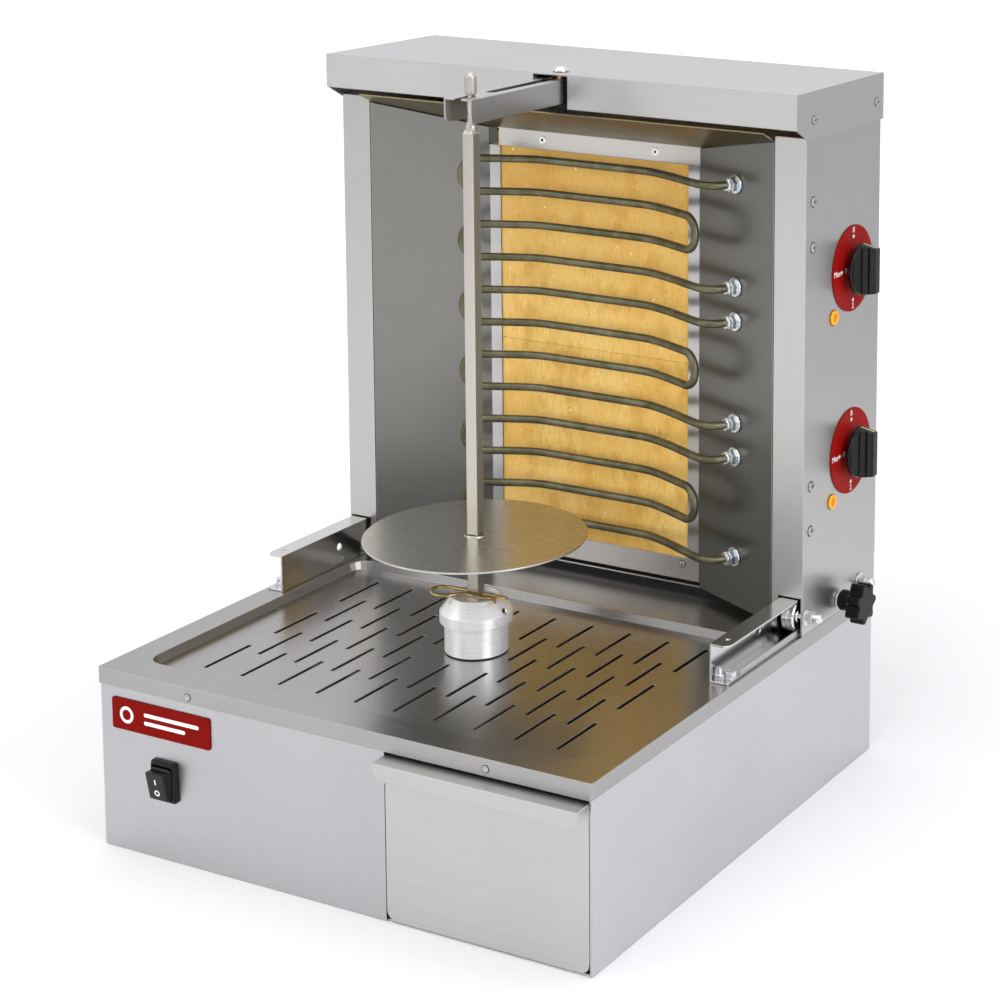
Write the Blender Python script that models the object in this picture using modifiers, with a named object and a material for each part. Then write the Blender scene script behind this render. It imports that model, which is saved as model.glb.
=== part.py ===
"""Vertical rotisserie broiler, built as it comes apart on a bench.

Units are metres, +Z is up, -Y is the operator's side and +X is to the operator's right.
The origin lies on the spit's axis, in the plane that the base rests on.
"""

import math

import bmesh
import bpy
from mathutils import Matrix, Vector

MM = 0.001
GAP = 0.3 * MM                      # clearance between pieces that touch
SHEET = 1.2 * MM                    # stainless sheet
MERGE = 0.01 * MM

# Base
WIDTH = 460 * MM
DEPTH = 445 * MM
DECK_TOP = 147.3 * MM
SPIT_SETBACK = 182.5 * MM           # base front to spit axis
FRONT = -SPIT_SETBACK
BACK = FRONT + DEPTH
SKIRT = 13 * MM                     # deck edge folded down over the shell
SHELL_HALF = WIDTH / 2 - SHEET - GAP
SHELL_FRONT = FRONT + SHEET + GAP
SHELL_BACK = BACK - SHEET - GAP
SHELL_TOP = DECK_TOP - SHEET - GAP

# Drip basin pressed into the deck
BASIN_HALF = 206 * MM
BASIN_FRONT = -156 * MM
BASIN_BACK = 110.5 * MM
BASIN_RADIUS = 14 * MM
BASIN_DRAFT = 2 * MM
BASIN_FLOOR = 140.4 * MM
SLOT_LENGTH = 53.5 * MM
SLOT_WIDTH = 3.4 * MM
SLOT_PITCH = 37 * MM
SLOT_ROW_PITCH = 41.3 * MM
SLOT_ROWS = 5
SLOTS_IN_LONG_ROW = 10

# Drawer
DRAWER_LEFT = 47 * MM
DRAWER_RIGHT = 226.9 * MM
DRAWER_BOTTOM = 1.5 * MM
DRAWER_TOP = 131 * MM
DRAWER_LENGTH = 296 * MM
HANDLE_REACH = 14 * MM
HANDLE_DROP = 12 * MM
CORNER = 8 * MM

# Switch and badge on the front
SWITCH_X = -164.4 * MM
SWITCH_Z = 65.5 * MM
SWITCH_PIVOT = 2 * MM               # rocker's axis in front of the shell
BADGE_LEFT, BADGE_RIGHT = -216.5 * MM, -118 * MM
BADGE_BOTTOM, BADGE_TOP = 100 * MM, 125.5 * MM

# Spit and drive
HUB_BOTTOM = 141.5 * MM
HUB_TOP = 187 * MM
HUB_RADIUS = 25.8 * MM
COLLAR_RADIUS = 29.6 * MM
SHAFT_RADIUS = 6 * MM
SPIT_SIDE = 10 * MM
SPIT_SHOULDER = 566 * MM
SPIT_TIP = 614.8 * MM
NECK_RADIUS = 2.4 * MM
PIN_RADIUS = 4.7 * MM
PIN_BOTTOM = 596.3 * MM
DISC_TOP = 237.2 * MM
DISC_RADIUS = 90 * MM
CLIP_Z = HUB_TOP + 1.6 * MM
CLIP_WIRE = 1.25 * MM

# Arm that steadies the top of the spit
ARM_HALF = 13 * MM
ARM_TOP = 595.5 * MM
ARM_BOTTOM = 576 * MM
ARM_FRONT = -17.5 * MM
ARM_BACK = 160 * MM
ARM_SLOT_HALF = 4.6 * MM
ARM_SLOT_FRONT = 23 * MM
ARM_SLOT_BACK = 133 * MM
ARM_SCREW_Y = 126 * MM

# Heater cabinet
CABINET_HALF = 230.6 * MM
CABINET_FRONT = 129.4 * MM
CABINET_BACK = 262.5 * MM
CABINET_BOTTOM = DECK_TOP + 0.7 * MM
FLANGE_TOP = 562.5 * MM
FLANGE_INNER = 202 * MM
REFLECTOR_HALF = FLANGE_INNER - 0.9 * MM
LID_HALF = 232.2 * MM
LID_FRONT = 110 * MM
LID_BACK = 263.9 * MM
LID_TOP = 600 * MM
LID_FRONT_SKIRT = 28.5 * MM
LID_SIDE_SKIRT = 39.4 * MM
NOTCH_HALF = 16.8 * MM

# Heating chamber
BOARD_HALF = 95 * MM
STRIP_HALF = 106.2 * MM
STRIP_FACE = 173.2 * MM
BOARD_FACE = STRIP_FACE + SHEET + GAP
BOARD_THICKNESS = 8 * MM
WINDOW_BOTTOM = 178.5 * MM
WINDOW_TOP = 522.3 * MM
BOARD_SEAM = 350.2 * MM
HOOD_FOLD = 538 * MM
HOOD_FRONT_Y = 112.5 * MM
HOOD_FRONT_Z = 566 * MM
REFLECTOR_BOTTOM = 155 * MM

# Heating elements
ELEMENT_TOPS = [515.3 * MM, 399.6 * MM, 283.9 * MM]
ELEMENT_SPAN = 86.7 * MM            # first leg to last leg
ELEMENT_RADIUS = 3.4 * MM
ELEMENT_Y = 163.5 * MM
ELEMENT_SHIFT = 7 * MM              # the bends sit this far right of the spit
ELEMENT_STRAIGHT = 55 * MM          # half length of the straight middle
ELEMENT_REACH = 117 * MM            # middle to the tip of a return bend
ELEMENT_WING_ANGLE = math.radians(24)
TERMINAL_X = 154.2 * MM

# Running gear of the cabinet
RAIL_INNER = 211 * MM
RAIL_OUTER = 227.5 * MM
RAIL_SHEET = 1.5 * MM
RAIL_BOTTOM = DECK_TOP + GAP
RAIL_TOP = 179.1 * MM
RAIL_FRONT = 13 * MM
RAIL_BACK = 250 * MM
ROLLER_RADIUS = 13.6 * MM
ROLLER_Z = 163.4 * MM
ROLLER_Y = {"front": 135 * MM, "rear": 231.3 * MM}
STAR_Y = 192.5 * MM
STAR_Z = 159.6 * MM

# Controls on the right side
DIALS = {"upper": (212 * MM, 441.4 * MM), "lower": (212 * MM, 284.2 * MM)}
LAMP_Y = 179.2 * MM
LAMP_DROP = 35.6 * MM               # dial axis to lamp axis
DIAL_RADIUS = 36.5 * MM
KNOB_RADIUS = 22 * MM
KNOB_DEPTH = 22.5 * MM
SPINDLE_RADIUS = 3 * MM

COLOURS = {
    "brushed_steel": ((0.62, 0.61, 0.60), 1.0, 0.32),
    "mirror_steel": ((0.58, 0.58, 0.57), 1.0, 0.12),
    "turned_aluminium": ((0.80, 0.80, 0.81), 1.0, 0.22),
    "zinc": ((0.66, 0.70, 0.74), 1.0, 0.30),
    "gold_passivated": ((0.80, 0.60, 0.25), 1.0, 0.25),
    "brass": ((0.78, 0.55, 0.22), 1.0, 0.28),
    "element_tube": ((0.20, 0.19, 0.13), 0.7, 0.45),
    "insulating_board": ((0.72, 0.47, 0.15), 0.0, 0.85),
    "black_plastic": ((0.02, 0.02, 0.02), 0.0, 0.40),
    "red_enamel": ((0.45, 0.02, 0.02), 0.0, 0.40),
    "orange_lens": ((0.95, 0.35, 0.02), 0.0, 0.15),
    "grey_iron": ((0.15, 0.16, 0.17), 0.6, 0.50),
    "white_ceramic": ((0.85, 0.84, 0.80), 0.0, 0.45),
}

# The two plane axes, then the extrusion axis, in right-handed order
PLANES = {"X": (1, 2, 0), "Y": (2, 0, 1), "Z": (0, 1, 2)}


# ---------------------------------------------------------------- building tools

def clear_scene():
    for old in list(bpy.data.objects):
        bpy.data.objects.remove(old, do_unlink=True)


def make_collection(name):
    collection = bpy.data.collections.new(name)
    bpy.context.scene.collection.children.link(collection)
    return collection


def make_material(name, kind):
    """A Principled material of its own for one object."""
    colour, metallic, roughness = COLOURS[kind]
    material = bpy.data.materials.new(name + "_" + kind)
    material.use_nodes = True
    shader = material.node_tree.nodes["Principled BSDF"]
    shader.inputs["Base Color"].default_value = (*colour, 1.0)
    shader.inputs["Metallic"].default_value = metallic
    shader.inputs["Roughness"].default_value = roughness
    return material


def add_object(name, mesh, kind, location=(0, 0, 0)):
    """Links a mesh as a part, or as a cutter when kind is None."""
    obj = bpy.data.objects.new(name, mesh)
    obj.location = location
    if kind is None:
        CUTTERS.objects.link(obj)
        obj.hide_render = True
        obj.display_type = "WIRE"
    else:
        PARTS.objects.link(obj)
        mesh.materials.append(make_material(name, kind))
    return obj


def mesh_from(bm, name):
    mesh = bpy.data.meshes.new(name)
    bm.to_mesh(mesh)
    bm.free()
    return mesh


def slab(name, low, high, kind, bevel=0.0, bevel_axis=None, segments=3):
    """A box between two corners; its edges along bevel_axis are rounded."""
    low, high = Vector(low), Vector(high)
    bm = bmesh.new()
    bmesh.ops.create_cube(bm, size=1.0)
    bmesh.ops.scale(bm, vec=high - low, verts=bm.verts)
    if bevel:
        along = Vector([float(axis == bevel_axis) for axis in "XYZ"])
        edges = [e for e in bm.edges if abs((e.verts[1].co - e.verts[0].co).normalized().dot(along)) > 0.9]
        bmesh.ops.bevel(bm, geom=edges, offset=bevel, segments=segments, profile=0.5, affect="EDGES")
    return add_object(name, mesh_from(bm, name), kind, (low + high) / 2)


def rod(name, start, axis, length, radius, kind, segments=20, end_radius=None):
    """A cylinder or cone from start, running along +axis."""
    bm = bmesh.new()
    top = radius if end_radius is None else end_radius
    bmesh.ops.create_cone(bm, cap_ends=True, segments=segments, radius1=radius, radius2=top, depth=length)
    bmesh.ops.translate(bm, vec=(0, 0, length / 2), verts=bm.verts)
    turn = {"X": Matrix.Rotation(math.pi / 2, 4, "Y"), "Y": Matrix.Rotation(-math.pi / 2, 4, "X"),
            "Z": Matrix.Identity(4)}
    bmesh.ops.transform(bm, matrix=turn[axis], verts=bm.verts)
    return add_object(name, mesh_from(bm, name), kind, start)


def modify(obj, kind, name=None, **settings):
    modifier = obj.modifiers.new(name or kind.title(), kind)
    for key, value in settings.items():
        setattr(modifier, key, value)
    return modifier


def cut(obj, cutter, operation="DIFFERENCE"):
    modify(obj, "BOOLEAN", cutter.name, operation=operation, object=cutter, solver="EXACT")


def join(obj, *others):
    """Unites helper solids with obj into one closed body."""
    for other in others:
        cut(obj, other, "UNION")


def cut_box(obj, low, high):
    cut(obj, slab(obj.name + "_cut_box", low, high, None))


def cut_hole(obj, start, axis, length, radius, segments=20):
    cut(obj, rod(obj.name + "_cut_hole", start, axis, length, radius, None, segments))


def folded(name, path, axis, low, high, kind, thickness=SHEET, closed=False, rounding=(0.0, 0.0)):
    """Sheet bent along a path and run from low to high on axis; the sheet lies left of the path.

    rounding gives the corner radius at the path's first and last edge.
    """
    a, b, c = PLANES[axis]
    bm = bmesh.new()
    columns = []
    for u, v in path:
        column = []
        for w in (low, high):
            point = [0.0, 0.0, 0.0]
            point[a], point[b], point[c] = u, v, w
            column.append(bm.verts.new(point))
        columns.append(column)
    last = len(columns) if closed else len(columns) - 1
    for i in range(last):
        here, there = columns[i], columns[(i + 1) % len(columns)]
        bm.faces.new((here[0], there[0], there[1], here[1]))
    for column, radius in ((columns[0], rounding[0]), (columns[-1], rounding[1])):
        if radius:
            bmesh.ops.bevel(bm, geom=column, offset=radius, segments=4, profile=0.5, affect="VERTICES")
    obj = add_object(name, mesh_from(bm, name), kind)
    modify(obj, "SOLIDIFY", thickness=thickness, offset=-1.0, use_even_offset=True)
    return obj


def mirrored(path):
    """The same fold for the other hand, in a (z, x) plane."""
    return [(z, -x) for z, x in reversed(path)]


def mirrored_plan(path):
    """The same fold for the other hand, in an (x, y) plane."""
    return [(-x, y) for x, y in reversed(path)]


def plate(name, outline, axis, low, high, kind):
    """A flat outline given thickness along axis."""
    a, b, c = PLANES[axis]
    curve = bpy.data.curves.new(name, "CURVE")
    curve.dimensions = "2D"
    curve.fill_mode = "BOTH"
    curve.extrude = (high - low) / 2
    spline = curve.splines.new("POLY")
    spline.points.add(len(outline) - 1)
    for point, (u, v) in zip(spline.points, outline):
        point.co = (u, v, 0.0, 1.0)
    spline.use_cyclic_u = True
    helper = bpy.data.objects.new(name + "_curve", curve)
    CUTTERS.objects.link(helper)
    frame = Matrix.Identity(4)
    for column, row in enumerate((a, b, c)):
        for i in range(3):
            frame[i][column] = float(i == row)
    frame[c][3] = (low + high) / 2
    mesh = mesh_of(helper, name)
    mesh.transform(frame)
    return add_object(name, mesh, kind)


def mesh_of(curve_object, name):
    """Turns a curve into a welded mesh and removes the curve."""
    graph = bpy.context.evaluated_depsgraph_get()
    mesh = bpy.data.meshes.new_from_object(curve_object.evaluated_get(graph))
    mesh.name = name
    mesh.materials.clear()
    bm = bmesh.new()
    bm.from_mesh(mesh)
    bmesh.ops.remove_doubles(bm, verts=bm.verts, dist=MERGE)
    bm.to_mesh(mesh)
    bm.free()
    bpy.data.objects.remove(curve_object, do_unlink=True)
    return mesh


def wire(name, points, radius, kind):
    """A round bar along a list of points, as a mesh."""
    curve = bpy.data.curves.new(name, "CURVE")
    curve.dimensions = "3D"
    curve.bevel_depth = radius
    curve.bevel_resolution = 2
    curve.use_fill_caps = True
    spline = curve.splines.new("POLY")
    spline.points.add(len(points) - 1)
    for point, place in zip(spline.points, points):
        point.co = (*place, 1.0)
    helper = bpy.data.objects.new(name + "_curve", curve)
    CUTTERS.objects.link(helper)
    mesh = mesh_of(helper, name)
    mesh.polygons.foreach_set("use_smooth", [True] * len(mesh.polygons))
    return add_object(name, mesh, kind)


def turned(name, profile, kind, location=(0, 0, 0), axis="Z", steps=28):
    """A profile of (radius, height) points, from the top down its outer side, spun round axis."""
    mesh = bpy.data.meshes.new(name)
    ring = profile[0][0] > 0
    edges = [(i, i + 1) for i in range(len(profile) - 1)]
    if ring:
        edges.append((len(profile) - 1, 0))
    mesh.from_pydata([(r, 0.0, h) for r, h in profile], edges, [])
    obj = add_object(name, mesh, kind, location)
    obj.rotation_euler = {"Z": (0, 0, 0), "X": (0, math.pi / 2, 0), "-X": (0, -math.pi / 2, 0),
                          "Y": (-math.pi / 2, 0, 0)}[axis]
    modify(obj, "SCREW", steps=steps, render_steps=steps, use_smooth_shade=True, use_merge_vertices=True,
           merge_threshold=MERGE)
    return obj


def open_box(name, low, high, kind):
    """A folded tray: floor and four walls."""
    low, high = Vector(low), Vector(high)
    bm = bmesh.new()
    bmesh.ops.create_cube(bm, size=1.0)
    bmesh.ops.scale(bm, vec=high - low, verts=bm.verts)
    lid = [face for face in bm.faces if face.normal.z > 0.9]
    bmesh.ops.delete(bm, geom=lid, context="FACES_ONLY")
    obj = add_object(name, mesh_from(bm, name), kind, (low + high) / 2)
    modify(obj, "SOLIDIFY", thickness=SHEET, offset=-1.0, use_even_offset=True)
    return obj


def arc(centre, radius, start, end, steps):
    """Points on a circle from angle start to angle end, in degrees."""
    cx, cy = centre
    angles = [math.radians(start + (end - start) * i / steps) for i in range(steps + 1)]
    return [(cx + radius * math.cos(t), cy + radius * math.sin(t)) for t in angles]


def rounded_rectangle(x0, x1, y0, y1, radius, steps=4):
    """Corner points of a rounded rectangle, anticlockwise."""
    corners = [((x1 - radius, y1 - radius), 0), ((x0 + radius, y1 - radius), 90),
               ((x0 + radius, y0 + radius), 180), ((x1 - radius, y0 + radius), 270)]
    return [point for centre, start in corners for point in arc(centre, radius, start, start + 90, steps)]


# ---------------------------------------------------------------- base

def build_base_shell():
    half, front, back = SHELL_HALF, SHELL_FRONT, SHELL_BACK
    outline = [(-half, front), (half, front), (half, back), (-half, back)]
    shell = folded("base_shell", outline, "Z", 0.0, SHELL_TOP, "brushed_steel", closed=True)
    cut_box(shell, (DRAWER_LEFT, front - SHEET, -SHEET),
            (DRAWER_RIGHT, front + 2 * SHEET, DRAWER_TOP + 2 * MM))
    cut_box(shell, (SWITCH_X - 11.5 * MM, front - SHEET, SWITCH_Z - 14.5 * MM),
            (SWITCH_X + 11.5 * MM, front + 2 * SHEET, SWITCH_Z + 14.5 * MM))
    cut_box(shell, (-171 * MM, back - 2 * SHEET, 36 * MM), (-139 * MM, back + SHEET, 62 * MM))
    for column in (-1, 1):
        for row in range(5):
            x = column * 45 * MM
            z = (60 + 12 * row) * MM
            cut_box(shell, (x - 28 * MM, back - 2 * SHEET, z), (x + 28 * MM, back + SHEET, z + 4 * MM))


def build_base_floor():
    half = SHELL_HALF - SHEET - GAP
    lip = 12 * MM
    path = [(lip, half), (0.0, half), (0.0, -half), (lip, -half)]
    front, back = SHELL_FRONT + SHEET + GAP, SHELL_BACK - SHEET - GAP
    floor = folded("base_floor", path, "Y", front, back, "brushed_steel")
    cut_box(floor, (DRAWER_LEFT - 4 * MM, front - SHEET, SHEET + GAP),
            (half + SHEET, front + 6 * MM, 2 * lip))


def slot_places():
    """Centres of the drain slots, in staggered rows, leaving out those that the hub would cover."""
    middle = (BASIN_FRONT + BASIN_BACK) / 2
    places = []
    for row in range(SLOT_ROWS):
        count = SLOTS_IN_LONG_ROW - row % 2
        y = middle + (row - (SLOT_ROWS - 1) / 2) * SLOT_ROW_PITCH
        for i in range(count):
            x = (i - (count - 1) / 2) * SLOT_PITCH
            nearest = math.hypot(x, max(abs(y) - SLOT_LENGTH / 2, 0.0))
            if nearest > HUB_RADIUS:
                places.append((x, y))
    return places


def build_top_deck():
    """Deck with a skirt outside and a shallow basin pressed into it."""
    half = WIDTH / 2
    draft = BASIN_DRAFT
    outer = rounded_rectangle(-half, half, FRONT, BACK, 1.8 * MM)
    rim = rounded_rectangle(-BASIN_HALF, BASIN_HALF, BASIN_FRONT, BASIN_BACK, BASIN_RADIUS)
    foot = rounded_rectangle(-BASIN_HALF + draft, BASIN_HALF - draft, BASIN_FRONT + draft,
                             BASIN_BACK - draft,
                             BASIN_RADIUS - draft)
    levels = [(outer, DECK_TOP - SKIRT), (outer, DECK_TOP), (rim, DECK_TOP), (foot, BASIN_FLOOR)]
    bm = bmesh.new()
    loops = [[bm.verts.new((x, y, z)) for x, y in outline] for outline, z in levels]
    for lower, upper in zip(loops, loops[1:]):
        for i in range(len(lower)):
            j = (i + 1) % len(lower)
            bm.faces.new((lower[i], lower[j], upper[j], upper[i]))
    bm.faces.new(loops[-1])
    deck = add_object("top_deck", mesh_from(bm, "top_deck"), "brushed_steel")
    modify(deck, "SOLIDIFY", thickness=SHEET, offset=-1.0, use_even_offset=True)
    cut(deck, slot_cutter())
    cut_hole(deck, (0, 0, BASIN_FLOOR - 10 * MM), "Z", 20 * MM, 12 * MM)


def slot_cutter():
    """All drain slots as one set of boxes."""
    bm = bmesh.new()
    for x, y in slot_places():
        box = bmesh.ops.create_cube(bm, size=1.0)["verts"]
        bmesh.ops.scale(bm, vec=(SLOT_WIDTH, SLOT_LENGTH, 10 * MM), verts=box)
        bmesh.ops.translate(bm, vec=(x, y, BASIN_FLOOR), verts=box)
    return add_object("drain_slot_cutter", mesh_from(bm, "drain_slots"), None)


def build_drip_chute():
    """Sloping sheet that keeps grease off the motor and leads it into the drawer."""
    high, low = 132 * MM, 113.5 * MM
    left, right = -215 * MM, 62 * MM
    path = [(low, right), (high, left), (high + 5 * MM, left)]
    chute = folded("drip_chute", path, "Y", BASIN_FRONT - 2 * MM, BASIN_BACK, "brushed_steel")
    cut_hole(chute, (0, 0, low - 10 * MM), "Z", 40 * MM, 13 * MM)


def build_badge():
    front = SHELL_FRONT - GAP
    slab("badge_plate", (BADGE_LEFT, front - 0.8 * MM, BADGE_BOTTOM), (BADGE_RIGHT, front, BADGE_TOP),
         "red_enamel", bevel=2 * MM, bevel_axis="Y")


def build_switch():
    """Sealed rocker switch: bezel and body in one, with the rocker hung in its pocket."""
    front = SHELL_FRONT - GAP
    bezel_low = (SWITCH_X - 13 * MM, front - 4.6 * MM, SWITCH_Z - 16.2 * MM)
    bezel_high = (SWITCH_X + 13 * MM, front, SWITCH_Z + 17 * MM)
    body = slab("switch_body", bezel_low, bezel_high, "black_plastic", bevel=3 * MM, bevel_axis="Y")
    join(body, slab("switch_box", (SWITCH_X - 10.9 * MM, front - 2 * MM, SWITCH_Z - 13.9 * MM),
                    (SWITCH_X + 10.9 * MM, front + 30 * MM, SWITCH_Z + 13.9 * MM), None))
    cut_box(body, (SWITCH_X - 9.7 * MM, front - 10 * MM, SWITCH_Z - 13.4 * MM),
            (SWITCH_X + 9.7 * MM, front + 7.5 * MM, SWITCH_Z + 14.4 * MM))
    pivot = Vector((SWITCH_X, SHELL_FRONT - SWITCH_PIVOT, SWITCH_Z))
    cut_hole(body, pivot - Vector((11.2 * MM, 0, 0)), "X", 22.4 * MM, 1.4 * MM, 12)
    outline = [(-6.7 * MM, -12.6 * MM), (3.5 * MM, -11 * MM), (3.5 * MM, 10.5 * MM),
               (-11.5 * MM, 10.9 * MM)]
    rocker = plate("switch_rocker", outline, "X", -9.2 * MM, 9.2 * MM, "black_plastic")
    rocker.location = pivot
    modify(rocker, "BEVEL", width=1.0 * MM, segments=2, limit_method="ANGLE")
    join(rocker, rod("rocker_pin", pivot - Vector((10.6 * MM, 0, 0)), "X", 21.2 * MM, 1.0 * MM, None, 10))


def build_mains_inlet():
    back = SHELL_BACK
    x, z = -155 * MM, 49 * MM
    inlet = slab("mains_inlet", (x - 20 * MM, back + GAP, z - 17 * MM),
                 (x + 20 * MM, back + 3.3 * MM, z + 17 * MM), "black_plastic", bevel=3 * MM,
                 bevel_axis="Y")
    join(inlet, slab("inlet_box", (x - 15.5 * MM, back - 24 * MM, z - 12.5 * MM),
                     (x + 15.5 * MM, back + 2 * MM, z + 12.5 * MM), None))
    cut_box(inlet, (x - 12 * MM, back - 16 * MM, z - 9 * MM), (x + 12 * MM, back + 10 * MM, z + 9 * MM))
    for dx, dz in ((-6 * MM, 0), (6 * MM, 0), (0, 4 * MM)):
        join(inlet, slab("inlet_pin", (x + dx - MM, back - 17 * MM, z + dz - 2 * MM),
                         (x + dx + MM, back - 3 * MM, z + dz + 2 * MM), None))


def build_terminal_block():
    block = slab("terminal_block", (-150 * MM, 150 * MM, 1.5 * MM), (-80 * MM, 174 * MM, 20 * MM),
                 "white_ceramic")
    for i in range(4):
        x = (-141 + 17 * i) * MM
        cut_box(block, (x, 149 * MM, 12 * MM), (x + 4 * MM, 175 * MM, 21 * MM))


# ---------------------------------------------------------------- drawer

def build_drawer():
    left, right = DRAWER_LEFT + 0.8 * MM, DRAWER_RIGHT - 0.6 * MM
    lip = SHELL_FRONT - HANDLE_REACH
    path = [(lip, DRAWER_TOP - 1.8 * MM - HANDLE_DROP), (lip, DRAWER_TOP - 1.8 * MM),
            (SHELL_FRONT, DRAWER_TOP - SHEET), (SHELL_FRONT, DRAWER_BOTTOM)]
    folded("drawer_front", path, "X", left, right, "brushed_steel", rounding=(CORNER, CORNER))
    open_box("drawer_pan", (58 * MM, SHELL_FRONT + SHEET + GAP, 3.2 * MM),
             (218 * MM, SHELL_FRONT + DRAWER_LENGTH, 108 * MM), "brushed_steel")


def build_drawer_cradle():
    floor = 1.2 * MM + GAP + SHEET
    path = [(42 * MM, 57.4 * MM), (floor, 57.4 * MM), (floor, 218.6 * MM), (42 * MM, 218.6 * MM)]
    folded("drawer_cradle", path, "Y", SHELL_FRONT + 4 * MM, 132 * MM, "brushed_steel")


# ---------------------------------------------------------------- drive

def build_motor():
    bracket_top = 111 * MM
    foot = SHEET + GAP
    path = [(foot, 54 * MM), (foot, 45 * MM), (bracket_top, 45 * MM), (bracket_top, -45 * MM),
            (foot, -45 * MM),
            (foot, -54 * MM)]
    bracket = folded("motor_bracket", path, "Y", -38 * MM, 38 * MM, "zinc")
    cut_hole(bracket, (0, 0, bracket_top - 5 * MM), "Z", 10 * MM, 9 * MM)
    gearbox = slab("gearbox", (-30 * MM, -32 * MM, 76 * MM), (30 * MM, 32 * MM, bracket_top - GAP),
                   "grey_iron",
                   bevel=4 * MM, bevel_axis="Z")
    cut_hole(gearbox, (0, 0, 84 * MM), "Z", 40 * MM, SHAFT_RADIUS + GAP)
    turned("motor", [(0, 75.7 * MM), (18 * MM, 75.7 * MM), (18 * MM, 71 * MM), (28 * MM, 68 * MM),
                     (28 * MM, 24 * MM), (24 * MM, 18 * MM), (8 * MM, 16 * MM), (0, 16 * MM)],
           "grey_iron")


def build_shaft_bearing():
    """Flanged bush under the basin, with a raised neck that keeps grease out of the bore."""
    bore = SHAFT_RADIUS + GAP
    under = BASIN_FLOOR - SHEET - GAP
    turned("shaft_bearing", [(bore, BASIN_FLOOR + 0.8 * MM), (11.6 * MM, BASIN_FLOOR + 0.8 * MM),
                             (11.6 * MM, under), (21 * MM, under), (21 * MM, under - 4 * MM),
                             (bore, under - 4 * MM)], "brass", steps=20)


def build_output_shaft():
    turned("output_shaft", [(0, 165 * MM), (5.2 * MM, 165 * MM), (SHAFT_RADIUS, 164 * MM),
                            (SHAFT_RADIUS, 86 * MM),
                            (0, 86 * MM)], "zinc", steps=20)


def build_drive_hub():
    """Turned hub: skirt, collar and cone, dished on top, with a square socket for the spit."""
    collar_low, collar_high = 166.4 * MM, 174.6 * MM
    profile = [(0, HUB_TOP - 3 * MM), (16.5 * MM, HUB_TOP - 3 * MM), (18.6 * MM, HUB_TOP),
               (19.8 * MM, HUB_TOP),
               (COLLAR_RADIUS, collar_high), (COLLAR_RADIUS, collar_low), (HUB_RADIUS, collar_low - MM),
               (HUB_RADIUS, HUB_BOTTOM + MM), (HUB_RADIUS - MM, HUB_BOTTOM), (0, HUB_BOTTOM)]
    hub = turned("drive_hub", profile, "turned_aluminium", steps=30)
    socket = SPIT_SIDE / 2 + GAP
    cut_box(hub, (-socket, -socket, 167.5 * MM), (socket, socket, HUB_TOP + MM))
    cut_hole(hub, (0, 0, HUB_BOTTOM - MM), "Z", 24.8 * MM, SHAFT_RADIUS + GAP)
    cut_hole(hub, (14 * MM, 0, 178.6 * MM), "X", 20 * MM, 2.8 * MM, 12)


def build_spit_bar():
    """Square bar, necked and rounded at the top so that the arm can hold it."""
    half = SPIT_SIDE / 2
    bar = slab("spit_bar", (-half, -half, 168 * MM), (half, half, SPIT_SHOULDER), "brushed_steel",
               bevel=0.7 * MM, bevel_axis="Z", segments=2)
    bar_top = rod("spit_shoulder", (0, 0, SPIT_SHOULDER - 0.01 * MM), "Z", 5 * MM, half * 1.38, None,
                  4, 3 * MM)
    bar_top.rotation_euler = (0, 0, math.pi / 4)
    pin = turned("spit_pin", [(0, SPIT_TIP), (2.2 * MM, SPIT_TIP), (PIN_RADIUS, SPIT_TIP - 3 * MM),
                              (PIN_RADIUS, PIN_BOTTOM + MM), (3.6 * MM, PIN_BOTTOM),
                              (NECK_RADIUS, PIN_BOTTOM),
                              (NECK_RADIUS, 574 * MM), (3.6 * MM, 569 * MM), (3.6 * MM, 560 * MM),
                              (0, 560 * MM)],
                 None, steps=20)
    join(bar, bar_top, pin)
    cut_hole(bar, (-half - MM, 0, CLIP_Z), "X", SPIT_SIDE + 2 * MM, CLIP_WIRE + GAP, 12)


def build_meat_disc():
    low = DISC_TOP - 1.6 * MM
    bore = SPIT_SIDE / 2 * math.sqrt(2) + 0.2 * MM
    turned("meat_disc", [(bore, DISC_TOP + 0.7 * MM), (8.6 * MM, DISC_TOP + 0.7 * MM),
                         (8.6 * MM, DISC_TOP),
                         (DISC_RADIUS, DISC_TOP), (DISC_RADIUS, low), (bore, low)], "brushed_steel",
           steps=48)


def build_hairpin_clip():
    """R-shaped wire clip: the straight leg runs through the spit, the other springs round it."""
    loop = arc((-25 * MM, -10.5 * MM), 10.5 * MM, 90, 262, 8)
    spring = [(-17 * MM, -19.5 * MM), (-11 * MM, -11.5 * MM), (-6 * MM, -8 * MM), (0, -8.4 * MM),
              (7 * MM, -9.0 * MM), (13 * MM, -8.2 * MM), (18 * MM, -6 * MM), (23 * MM, -8 * MM),
              (27 * MM, -12 * MM)]
    plan = [(30 * MM, 0.0)] + loop + spring
    wire("hairpin_clip", [(x, y, CLIP_Z) for x, y in plan], CLIP_WIRE, "gold_passivated")


# ---------------------------------------------------------------- arm

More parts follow.
